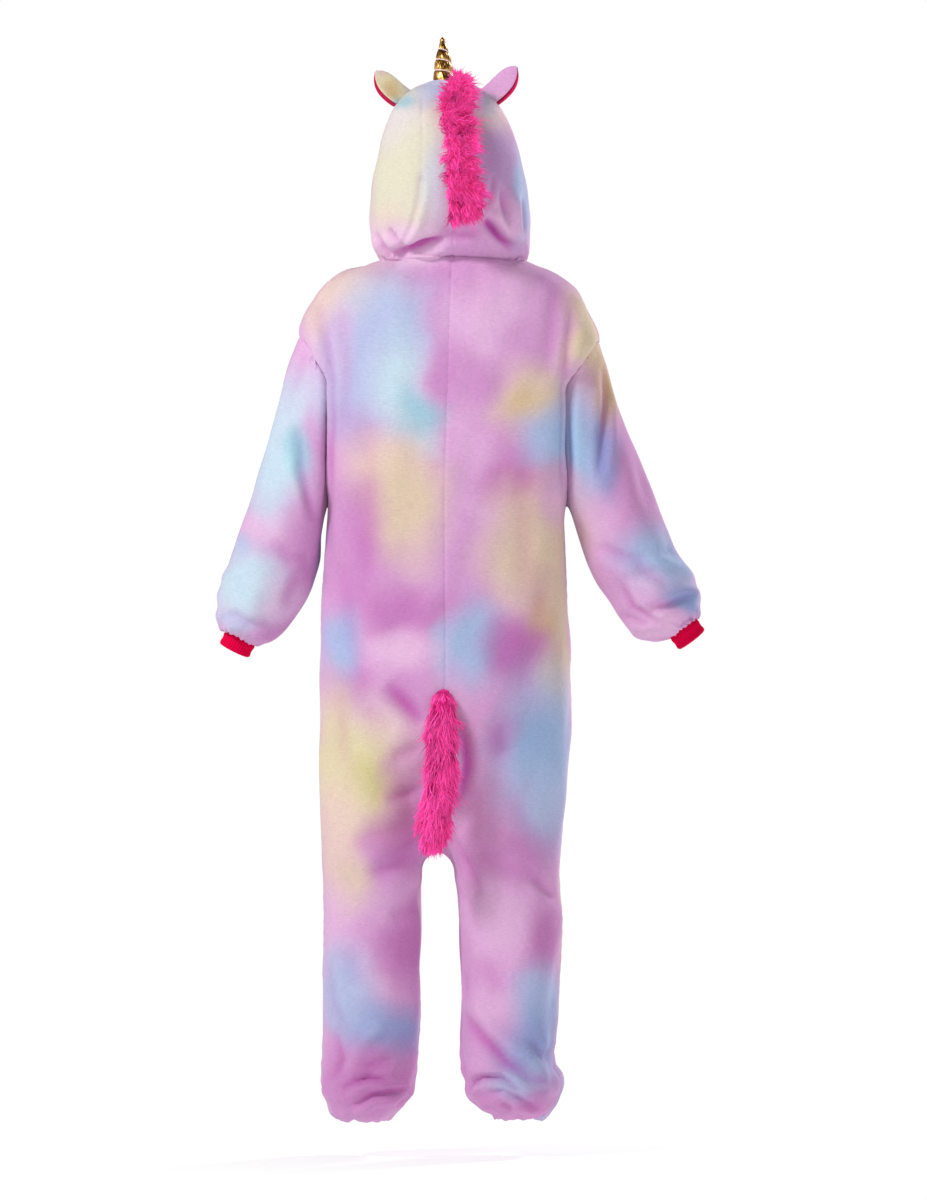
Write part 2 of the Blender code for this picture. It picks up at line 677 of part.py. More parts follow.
def zip_hardware(parts, cutters, material):
    """The slider with its bail, and the pull that hangs by a bar through the bail."""
    place = slider_frame()
    wide, deep, tall = SLIDER
    bail_x, bail_out, bail_half = 1.1, 3.4, 3.4
    slider = [
        ((-wide / 2, -deep, -tall / 2), (wide / 2, 0, tall / 2)),
        ((-bail_x, -deep - bail_out, bail_half - 1.2), (bail_x, -deep + 0.5, bail_half)),
        ((-bail_x, -deep - bail_out, -bail_half), (bail_x, -deep + 0.5, -bail_half + 1.2)),
        ((-bail_x, -deep - bail_out, -bail_half), (bail_x, -deep - bail_out + 0.9, bail_half)),
    ]
    joined_boxes("zip_slider", slider, parts, cutters, material, place)
    bar_out = -deep - 1.4
    pull_place = place @ Matrix.Translation((0, bar_out * MM, 0))
    pull_wide, pull_thick, pull_long = PULL
    slot = 2.0
    eye = 7.0
    pull = [
        ((-pull_wide / 2, -BAR_RADIUS, -BAR_RADIUS), (pull_wide / 2, BAR_RADIUS, BAR_RADIUS)),
        ((-pull_wide / 2, -pull_thick / 2, -eye), (-slot, pull_thick / 2, BAR_RADIUS)),
        ((slot, -pull_thick / 2, -eye), (pull_wide / 2, pull_thick / 2, BAR_RADIUS)),
        ((-pull_wide / 2, -pull_thick / 2, -pull_long), (pull_wide / 2, pull_thick / 2, -eye + 0.5)),
    ]
    joined_boxes("zip_pull", pull, parts, cutters, material, pull_place)


def material(name, colour, roughness, metallic=0.0):
    made = bpy.data.materials.new(name)
    made.use_nodes = True
    shader = made.node_tree.nodes["Principled BSDF"]
    shader.inputs["Base Color"].default_value = (*colour, 1)
    shader.inputs["Roughness"].default_value = roughness
    shader.inputs["Metallic"].default_value = metallic
    return made


def collection(name):
    made = bpy.data.collections.new(name)
    bpy.context.scene.collection.children.link(made)
    return made


def main():
    for old in list(bpy.data.objects):
        bpy.data.objects.remove(old)
    parts = collection("unicorn_onesie")
    cutters = collection("zip_hardware_blocks")
    cutters.hide_render = True
    fleece = material("fleece", (0.62, 0.35, 0.62), 0.95)
    rib = material("rib", (0.80, 0.02, 0.10), 0.85)
    lining = material("ear_lining", (0.80, 0.02, 0.12), 0.9)
    gold = material("gold_lame", (0.80, 0.52, 0.16), 0.3, 1.0)
    fur = material("fur", (0.85, 0.06, 0.33), 0.8)
    tape = material("zip_tape", (0.80, 0.55, 0.78), 0.7)
    metal = material("zip_metal", (0.72, 0.72, 0.74), 0.3, 1.0)

    sheets = {}
    for side, word in ((1, "left"), (-1, "right")):
        back = body_sheet(side, 1)
        front = opened(body_sheet(side, -1), side, ROWS_V)
        sheets[f"back_{word}"] = (back, False, side)
        sheets[f"front_{word}"] = (front, False, -side)
        sheets[f"sleeve_{word}"] = (sleeve_sheet(side), True, -side)
        sheets[f"hood_{word}"] = (hood_sheet(side, back, front), False, -side)
    sheets = folded(sheets)
    normals = shared_normals(sheets)
    for name, sheet in sheets.items():
        cloth(name, sheet, normals, parts, fleece)

    left, right = sheets["hood_left"][0], sheets["hood_right"][0]
    skins = [loft(half, half, False) for half in (left, right)]
    shift = len(skins[0][0])
    points = np.concatenate([skins[0][0], skins[1][0]])
    faces = skins[0][1] + [tuple(corner + shift for corner in face) for face in skins[1][1]]
    tree = BVHTree.FromPolygons([Vector(point) for point in points], faces)
    for side, word in ((1, "left"), (-1, "right")):
        mesh_object(f"cuff_{word}", *cuff(side), parts, rib)
        mesh_object(f"ear_{word}_back", *ear(side, tree, False), parts, fleece)
        mesh_object(f"ear_{word}_front", *ear(side, tree, True), parts, lining)
    mesh_object("horn", *horn(tree), parts, gold)
    mesh_object("mane", *mane(left, right, normals), parts, fur)
    mesh_object("tail", *tail(), parts, fur)
    mesh_object("front_zip", *front_zip(), parts, tape)
    zip_hardware(parts, cutters, metal)


main()
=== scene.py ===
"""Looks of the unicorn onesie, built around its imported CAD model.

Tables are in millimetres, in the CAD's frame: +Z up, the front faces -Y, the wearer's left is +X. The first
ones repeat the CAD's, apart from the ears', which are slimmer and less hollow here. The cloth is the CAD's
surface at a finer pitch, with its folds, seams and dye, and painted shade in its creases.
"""

import math

import bpy
import numpy as np
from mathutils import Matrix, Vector
from mathutils.bvhtree import BVHTree
from mathutils.kdtree import KDTree


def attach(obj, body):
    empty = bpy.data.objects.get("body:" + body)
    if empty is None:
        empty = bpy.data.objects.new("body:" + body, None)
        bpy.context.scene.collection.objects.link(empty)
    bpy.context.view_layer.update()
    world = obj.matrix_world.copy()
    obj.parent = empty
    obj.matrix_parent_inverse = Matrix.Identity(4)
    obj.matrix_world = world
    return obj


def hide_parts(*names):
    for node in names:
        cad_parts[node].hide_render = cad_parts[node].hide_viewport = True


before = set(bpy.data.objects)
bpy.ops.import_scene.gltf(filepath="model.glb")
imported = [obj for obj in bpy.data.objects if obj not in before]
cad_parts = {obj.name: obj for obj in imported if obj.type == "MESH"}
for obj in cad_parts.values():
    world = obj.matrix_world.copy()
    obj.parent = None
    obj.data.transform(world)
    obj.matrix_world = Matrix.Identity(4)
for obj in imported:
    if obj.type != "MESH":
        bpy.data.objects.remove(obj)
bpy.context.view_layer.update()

MM = 0.001
WALL = 2.5
BODY = "garment"

# ---------------------------------------------------------------- the CAD's shape

UNDERARM_Z = -320.0

# Neck to crotch. The side column is the shoulder seam down to v = 1; the armhole takes over to v = 2.
# v, height at the back and at the front, side's height, left side, right side, back, front, squareness
TRUNK = (
    (0.00, 5, -45, 1, 82, -100, 60, -80, 2.0),
    (0.25, -9, -54, -11, 129, -131, 69, -87, 2.1),
    (0.50, -28, -65, -28, 156, -162, 78, -93, 2.3),
    (0.75, -54, -81, -58, 176, -182, 86, -99, 2.5),
    (1.00, -90, -106, -100, 192, -198, 92, -105, 2.6),
    (1.35, -170, -178, -180, 155, -154, 97, -111, 2.6),
    (1.70, -250, -253, -250, 155, -154, 96, -113, 2.6),
    (2.00, -320, -320, -320, 155, -154, 93, -113, 2.5),
    (2.20, -410, -410, -410, 160, -155, 92, -113, 2.4),
    (2.40, -500, -500, -500, 163, -158, 98, -113, 2.4),
    (2.60, -590, -590, -590, 165, -160, 109, -112, 2.4),
    (2.80, -680, -680, -680, 166, -156, 108, -107, 2.4),
    (3.00, -770, -770, -770, 163, -147, 92, -94, 2.4),
)

# Centre line: v, sideways place. The crotch hangs a little to the wearer's left.
CENTRE = ((0.0, -7), (1.0, -3), (2.0, 3), (2.6, 3), (3.0, 13))

# Legs, crotch to hem, the last rows turned up inside round the elastic.
# v, height, left outer, left inner, right outer, right inner, middle's depth, half-depth
LEGS = (
    (3.00, -770, 163, 13, -147, 13, 3, 80),
    (3.04, -779, 163, 28, -147, -2, 3, 79),
    (3.12, -804, 162, 32, -147, -9, 4, 76),
    (3.25, -855, 161, 31, -149, -13, 5, 72),
    (3.40, -915, 162, 33, -147, -16, 7, 69),
    (3.53, -970, 162, 33, -143, -18, 8, 68),
    (3.64, -1014, 164, 36, -141, -17, 9, 69),
    (3.72, -1044, 166, 40, -140, -18, 9, 73),
    (3.79, -1063, 165, 41, -149, -23, 9, 76),
    (3.85, -1081, 163, 45, -147, -27, 9, 75),
    (3.89, -1096, 158, 55, -140, -39, 9, 69),
    (3.93, -1108, 150, 68, -131, -54, 9, 58),
    (3.96, -1114, 142, 76, -124, -61, 9, 47),
    (3.98, -1109, 139, 79, -121, -64, 9, 42),
    (4.00, -1097, 139, 79, -121, -64, 9, 42),
)
LEG_BLEND_V = 2.5  # where the seat starts to part into two legs

# Armholes
TIP_Z = {1: -96.0, -1: -104.0}
ARMHOLE_DEPTH = {1: 62.0, -1: 68.0}  # back, front
ARMHOLE_DROP = 62.0  # how far below the tip the seam has come in to the body's side
ARMHOLE_CURVE = 1.3

# Sleeves, from the armhole: the first row lies just below it, the last is turned in round the cuff.
# outer edge x and height, inner edge x and height, half-depth, middle's depth
SLEEVES = {
    1: (
        (203, -128, 157, -328, 66, 0),
        (216, -172, 159, -336, 65, -1),
        (229, -215, 161, -347, 63, -3),
        (241, -255, 164, -362, 60, -5),
        (254, -296, 166, -386, 57, -7),
        (267, -338, 171, -407, 55, -9),
        (281, -384, 179, -432, 54, -11),
        (294, -421, 194, -457, 54, -13),
        (299, -446, 211, -479, 50, -15),
        (298, -464, 229, -495, 41, -16),
        (292, -477, 248, -500, 25, -17),
        (285, -464, 242, -486, 23, -17),
    ),
    -1: (
        (-208, -134, -157, -326, 66, 0),
        (-220, -177, -160, -333, 65, -1),
        (-233, -216, -164, -343, 63, -3),
        (-247, -253, -169, -357, 60, -5),
        (-262, -290, -175, -376, 57, -7),
        (-279, -328, -182, -397, 55, -9),
        (-295, -368, -193, -420, 54, -11),
        (-313, -398, -209, -441, 55, -13),
        (-328, -422, -227, -468, 52, -15),
        (-329, -444, -249, -488, 43, -16),
        (-327, -462, -288, -491, 26, -17),
        (-319, -450, -280, -479, 23, -17),
    ),
}
BOW_ROWS = 4.0  # rows over which the sleeve loses the armhole's inward bow

# Cuffs: middle of the line where the sleeve lets them out, and the way they point
CUFFS = {1: ((269, -17, -489), (0.45, -0.1, -0.89)), -1: ((-308, -17, -477), (-0.6, -0.1, -0.79))}
CUFF_RADIUS = 21.0
CUFF_INSIDE = 17.0
CUFF_SHOWS = 18.0

# Hood, neck to crown. Its first row is the neck seam itself; above face_x = 0 it is closed in front.
# height at the back and at the front, middle, half-width, back, front, squareness, face's half-width
HOOD = (
    (14, -28, -8, 98, 73, -91, 2.1, 34),
    (24, -11, -6, 102, 83, -97, 2.1, 48),
    (40, 13, -5, 104, 92, -102, 2.1, 60),
    (62, 42, -4, 105, 101, -104, 2.1, 68),
    (88, 73, -3, 102, 106, -105, 2.1, 72),
    (114, 104, -2, 98, 107, -105, 2.1, 72),
    (140, 133, -2, 92, 103, -103, 2.1, 67),
    (163, 157, -1, 86, 95, -101, 2.0, 58),
    (183, 178, -1, 78, 83, -98, 2.0, 45),
    (200, 194, 0, 69, 67, -93, 2.0, 28),
    (213, 205, 0, 57, 51, -85, 2.0, 0),
    (225, 217, 0, 44, 34, -70, 2.0, 0),
    (233, 227, 0, 27, 14, -46, 2.0, 0),
)
CROWN = (0.0, -13.0, 237.0)
HEAD_TURN = math.radians(6)  # the hood is turned a little to the wearer's left
TURN_FULL_Z = 75.0
HOOD_MIDDLE_Y = -5.0
CHIN_DROP = 3.0  # how late, on the way round to the front, a ring of the hood drops to its front height

# Trims
MANE_ROWS = (3, 13)  # hood rows between which the fur strip runs up the back
TAIL = (
    # height, middle, depth of the middle, half-width, half-depth
    (-558, 4, 113, 12, 6),
    (-575, 5, 120, 18, 11),
    (-640, 7, 124, 21, 14),
    (-700, 9, 122, 21, 15),
    (-745, 12, 119, 20, 14),
    (-765, 14, 118, 14, 10),
)
HORN_BASE = (4.0, -46.0)
HORN_TIP = (6.0, -66.0, 295.0)
HORN_RADII = (14.0, 13.0, 11.6, 9.3, 5.6, 1.8)
EAR_TIPS = {1: (93, -22, 249), -1: (-91, -22, 255)}
EAR_FEET = {1: ((69, -14, 201), (47, -26, 224)), -1: ((-68, -14, 204), (-46, -26, 227))}
EAR_PUFF = 6.0
EAR_ROLL = 7.0  # how far the outer edge turns towards the back
EAR_BELLY = 0.64  # the outer edge is flatter than the inner one, and more so than the CAD's
EAR_HOLLOW = 12.0  # how far the ear bends in at half its height, less than the CAD's
EAR_RIM = 0.3  # the lining's outer edge shows beside the back

# Zip
ZIP_WIDTH = 8.0
ZIP_START_V = 0.03
ZIP_END_V = 2.6
MOST_MITRE = 0.6


def smooth(table, at, column):
    """A smooth line through one column of a table, at values of its first column."""
    knots = np.array([row[0] for row in table], float)
    values = np.array([row[column] for row in table], float)
    slopes = np.gradient(values, knots)
    at = np.clip(at, knots[0], knots[-1])
    i = np.clip(np.searchsorted(knots, at, side="right") - 1, 0, len(knots) - 2)
    span = knots[i + 1] - knots[i]
    t = (at - knots[i]) / span
    rise = values[i + 1] - values[i]
    near = slopes[i] * span - rise
    far = rise - slopes[i + 1] * span
    return values[i] + rise * t + t * (1 - t) * ((1 - t) * near + t * far)


def unit(vectors):
    return vectors / np.linalg.norm(vectors, axis=-1, keepdims=True)


def run_length(path):
    """How far along a path each of its points is."""
    return np.concatenate([[0], np.cumsum(np.linalg.norm(np.diff(path, axis=0), axis=1))])


def placed_on(field, gone, place):
    """A field given at the distances gone along a path, at other distances."""
    return np.stack([np.interp(place, gone, field[:, n]) for n in range(3)], axis=-1)


def ease(t):
    t = np.clip(t, 0, 1)
    return t * t * (3 - 2 * t)


def rooted(value, squareness):
    return np.abs(value) ** (2 / squareness)


def armhole(side, face, theta):
    """The armhole seam: theta is 0 at the dropped tip and pi at the underarm."""
    tip_x = TRUNK[4][4] if side > 0 else TRUNK[4][5]
    under_x = TRUNK[7][4] if side > 0 else TRUNK[7][5]
    tip_z = TIP_Z[side]
    z = (tip_z + UNDERARM_Z) / 2 + (tip_z - UNDERARM_Z) / 2 * np.cos(theta)
    out = np.clip((z - tip_z + ARMHOLE_DROP) / ARMHOLE_DROP, 0, 1) ** ARMHOLE_CURVE
    x = under_x + (tip_x - under_x) * out
    return np.stack([x, face * ARMHOLE_DEPTH[face] * np.sin(theta), z], axis=-1)


def trunk_point(side, face, u, v):
    centre_x = smooth(CENTRE, v, 1)
    centre_y = smooth(TRUNK, v, 6 if face > 0 else 7)
    centre_z = smooth(TRUNK, v, 1 if face > 0 else 2)
    edge = np.stack([smooth(TRUNK, v, 4 if side > 0 else 5), 0 * v, smooth(TRUNK, v, 3)], axis=-1)
    tip_lift = (TIP_Z[side] - TRUNK[4][3]) * ease(v)
    edge[..., 2] += np.where(v < 1, tip_lift, 0)
    hole = armhole(side, face, (v - 1) * math.pi)
    edge = np.where(((v >= 1) & (v <= 2))[..., None], hole, edge)
    squareness = smooth(TRUNK, v, 8)
    across = rooted(np.sin(u * math.pi / 2), squareness)
    along = rooted(np.cos(u * math.pi / 2), squareness)
    x = centre_x + (edge[..., 0] - centre_x) * across
    y = edge[..., 1] + (centre_y - edge[..., 1]) * along
    z = centre_z + (edge[..., 2] - centre_z) * ease(across)
    return np.stack([x, y, z], axis=-1)


def leg_point(side, face, u, v):
    outer = smooth(LEGS, v, 2 if side > 0 else 4)
    inner = smooth(LEGS, v, 3 if side > 0 else 5)
    above = v < LEGS[0][0]
    outer = np.where(above, smooth(TRUNK, v, 4 if side > 0 else 5), outer)
    inner = np.where(above, smooth(CENTRE, v, 1), inner)
    x = (outer + inner) / 2 - (outer - inner) / 2 * np.cos(math.pi * u)
    y = smooth(LEGS, v, 6) + face * smooth(LEGS, v, 7) * np.sin(math.pi * u)
    z = np.where(above, smooth(TRUNK, v, 1), smooth(LEGS, v, 1))
    return np.stack([x, y, z], axis=-1)


def body_point(side, face, u, v):
    """The outer skin. The seat turns from one wide section into two round ones, first at the centre."""
    t = np.clip((v - LEG_BLEND_V) / (3 - LEG_BLEND_V), 0, 1)
    centre_share = 1 - np.sqrt(1 - t * t)
    share = centre_share + (ease(t) - centre_share) * ease(u / 0.4)
    trunk = trunk_point(side, face, u, np.minimum(v, 3))
    return trunk + (leg_point(side, face, u, v) - trunk) * share[..., None]


def turned(points, middle_x):
    """Turns hood points with the head, more the higher they are above the neck."""
    angle = HEAD_TURN * ease(points[..., 2] / TURN_FULL_Z)
    x = points[..., 0] - middle_x
    y = points[..., 1] - HOOD_MIDDLE_Y
    new_x = middle_x + x * np.cos(angle) - y * np.sin(angle)
    new_y = HOOD_MIDDLE_Y + x * np.sin(angle) + y * np.cos(angle)
    return np.stack([new_x, new_y, points[..., 2]], axis=-1)


def hood_ring(side, row, angles):
    back_z, front_z, middle, half_width, back, front, squareness, _ = row
    reach = np.where(angles < math.pi / 2, back, front) - HOOD_MIDDLE_Y
    x = middle + side * half_width * rooted(np.sin(angles), squareness)
    y = HOOD_MIDDLE_Y + reach * rooted(np.cos(angles), squareness)
    z = back_z + (front_z - back_z) * ((1 - np.cos(angles)) / 2) ** CHIN_DROP
    return turned(np.stack([x, y, z], axis=-1), middle)


# ---------------------------------------------------------------- the cloth's grid

SEAM_SHARES = np.array([0, 0.004, 0.009, 0.016, 0.025, 0.037, 0.052])  # columns crowd towards a seam
ACROSS = np.concatenate([SEAM_SHARES, np.linspace(0.07, 0.93, 50), 1 - SEAM_SHARES[::-1]])
DOWN = np.concatenate(
    [
        [0, 0.015, 0.035, 0.06, 0.09],
        np.linspace(0.12, 1, 28),
        np.linspace(1, 2, 60)[1:],
        np.linspace(2, 2.5, 48)[1:],
        2.5 + 0.5 * np.sin(np.linspace(0, math.pi / 2, 60))[1:],
        3 + 0.8 * np.linspace(0, 1, 66)[1:] ** 1.3,
        np.linspace(3.8, 4, 44)[1:],
    ]
)
SLEEVE_STEPS = np.concatenate(
    [[0, 0.03, 0.07, 0.12, 0.19, 0.28], np.linspace(0.4, 9.5, 66), np.linspace(9.5, 12, 32)[1:]]
)
HOOD_STEPS = np.concatenate(
    [[0, 0.03, 0.07, 0.13, 0.2, 0.29], np.linspace(0.4, 13, 84), np.linspace(13, 14, 10)[1:]]
)


def body_sheet(side, face):
    """The CAD's panel, eased over the rows where its edge turns.

    Those are the shoulder's tip, the underarm and the crotch.
    """
    v, u = np.meshgrid(DOWN, ACROSS, indexing="ij")
    points = body_point(side, face, u, v)
    for at, reach in ((1, 0.12), (2, 0.16), (3, 0.07)):
        inner = ACROSS if at == 3 else 1 - ACROSS
        rows = (DOWN > at - reach) & (DOWN < at + reach)
        ends = []
        for end in (at - reach, at + reach):
            places = body_point(side, face, *np.meshgrid(ACROSS, end + np.array([-0.002, 0, 0.002])))
            ends.append((places[1], (places[2] - places[0]) * reach * 500))
        (start, leave), (stop, arrive) = ends
        t = (DOWN[rows] - at + reach) / (2 * reach)
        bridge = hermite(start, stop, leave, arrive, t)
        points[rows] += (bridge - points[rows]) * ease(inner / 0.05)[None, :, None]
    return points


def sleeve_sheet(side):
    half = (DOWN[(DOWN >= 1) & (DOWN <= 2)] - 1) * math.pi
    theta = np.concatenate([half, math.pi + half[1:-1]])
    hole = np.concatenate([armhole(side, 1, half), armhole(side, -1, half[::-1])[1:-1]])
    top, under = hole[0], hole[len(half) - 1]
    first = (0, top[0], top[2], under[0], under[2], 65, 0)
    table = [first] + [(n, *row) for n, row in enumerate(SLEEVES[side], 1)]
    at = SLEEVE_STEPS
    out_x, out_z, in_x, in_z, half_depth, middle_y = (smooth(table, at, c)[:, None] for c in range(1, 7))
    swing, sway = np.cos(theta), np.sin(theta)
    rings = np.stack(
        [
            (out_x + in_x) / 2 + (out_x - in_x) / 2 * swing,
            middle_y + half_depth * sway,
            (out_z + in_z) / 2 + (out_z - in_z) / 2 * swing,
        ],
        axis=-1,
    )
    return rings + (hole - rings[0]) * (1 - ease(at / BOW_ROWS))[:, None, None]


def hood_rings(side, at):
    """Rings of half a hood at places between the rows of its table."""
    table = [(n, *row) for n, row in enumerate(HOOD, 1)]
    share = np.concatenate([ACROSS / 2, (1 - ACROSS[::-1] / 2)[1:]])
    rings = []
    for row in np.stack([smooth(table, at, c) for c in range(1, 9)], axis=-1):
        opening = np.clip(row[7] / row[3], 0, 1)
        last = math.pi - math.asin(opening ** (row[6] / 2))
        rings.append(hood_ring(side, row, last * share))
    return np.array(rings)


def hermite(start, end, leave, arrive, t):
    t = t[:, None, None]
    kept = (2 * t**3 - 3 * t**2 + 1) * start + (3 * t**2 - 2 * t**3) * end
    return kept + (t**3 - 2 * t**2 + t) * leave + (t**3 - t**2) * arrive


def hood_sheet(side, back, front):
    """Half the hood: from the body's own neck points, up the table's rings, to the crown."""
    step = 0.01
    neck = np.concatenate([back[0], front[0][::-1][1:]])
    low, low_next, high_before, high = hood_rings(side, np.array([1, 1 + step, 13 - step, 13]))
    crown = np.tile(turned(np.array(CROWN), 0.0), (len(neck), 1))
    level = (crown - high) * (1.3, 1.3, 0.0)
    at = HOOD_STEPS
    rise = hermite(neck, low, low - neck, (low_next - low) / step, at[at < 1])
    close = hermite(high, crown, (high - high_before) / step, level, at[at > 13] - 13)
    return np.concatenate([rise, hood_rings(side, at[(at >= 1) & (at <= 13)]), close])


def front_room(points, side):
    """Parts the front edges to make room for the zip."""
    room = (ZIP_WIDTH / 2 + 0.3) * ease((ZIP_END_V + 0.02 - DOWN) / 0.02)
    out = points.copy()
    out[..., 0] += side * np.outer(room, (1 - ACROSS) ** 3)
    return out


# ---------------------------------------------------------------- normals and walls


def own_normals(points, ring, flip):
    """Unit normals of a sheet's grid."""
    closed = np.concatenate([points, points[:, :1]], axis=1) if ring else points
    cross = np.cross(closed[1:, 1:] - closed[:-1, :-1], closed[1:, :-1] - closed[:-1, 1:]) * flip
    total = np.zeros_like(closed)
    for down in (slice(None, -1), slice(1, None)):
        for over in (slice(None, -1), slice(1, None)):
            total[down, over] += cross
    if ring:
        total[:, 0] += total[:, -1]
        total = total[:, :-1]
    if np.ptp(points[-1], axis=0).max() < 1e-6:
        total[-1] = total[-1].sum(axis=0)
    return total / (np.linalg.norm(total, axis=-1, keepdims=True) + 1e-12)


def shared_normals(sheets):
    """Normals of every sheet, the same where two sheets meet, and longer there by the seam's mitre."""
    normals = {name: own_normals(*sheet) for name, sheet in sheets.items()}
    places = []
    for name, (points, ring, _) in sheets.items():
        rows, columns = points.shape[:2]
        edge = np.zeros((rows, columns), bool)
        edge[[0, -1]] = True
        if not ring:
            edge[:, [0, -1]] = True
        places += [(name, r, c) for r, c in np.argwhere(edge)]
    tree = KDTree(len(places))
    for number, (name, r, c) in enumerate(places):
        tree.insert(sheets[name][0][r, c], number)
    tree.balance()
    old = {name: field.copy() for name, field in normals.items()}
    for name, r, c in places:
        near = [places[found[1]] for found in tree.find_range(sheets[name][0][r, c], 0.03)]
        group = {other[0]: old[other[0]][other[1], other[2]] for other in near}
        if len(group) > 1:
            middle = sum(group.values())
            middle = middle / np.linalg.norm(middle)
            lean = np.mean([normal @ middle for normal in group.values()])
            normals[name][r, c] = middle / max(lean, MOST_MITRE)
    return normals


def along_edges(points, ring):
    """Distance of each place from the sheet's side edges and from its first and last rows, in mm."""
    steps = np.linalg.norm(np.diff(points, axis=1), axis=-1)
    run = np.concatenate([np.zeros((len(points), 1)), np.cumsum(steps, axis=1)], axis=1)
    fall = np.linalg.norm(np.diff(points, axis=0), axis=-1)
    drop = np.concatenate([np.zeros((1, points.shape[1])), np.cumsum(fall, axis=0)])
    far = np.full(points.shape[:2], 1e3)
    return (far, far, drop, drop[-1] - drop) if ring else (run, run[:, -1:] - run, drop, drop[-1] - drop)


def waves(points, lengths, seed, count=12):
    """Smooth unevenness from about -1 to 1; lengths are a swell's in mm along x, y and z."""
    draw = np.random.default_rng(seed)
    total = np.zeros(points.shape[:-1])
    for _ in range(count):
        way = draw.normal(size=3)
        way *= 2 * math.pi * draw.uniform(0.7, 1.4) / np.linalg.norm(way) / np.array(lengths)
        total += np.sin(points @ way + draw.uniform(0, 2 * math.pi))
    return total / math.sqrt(count)


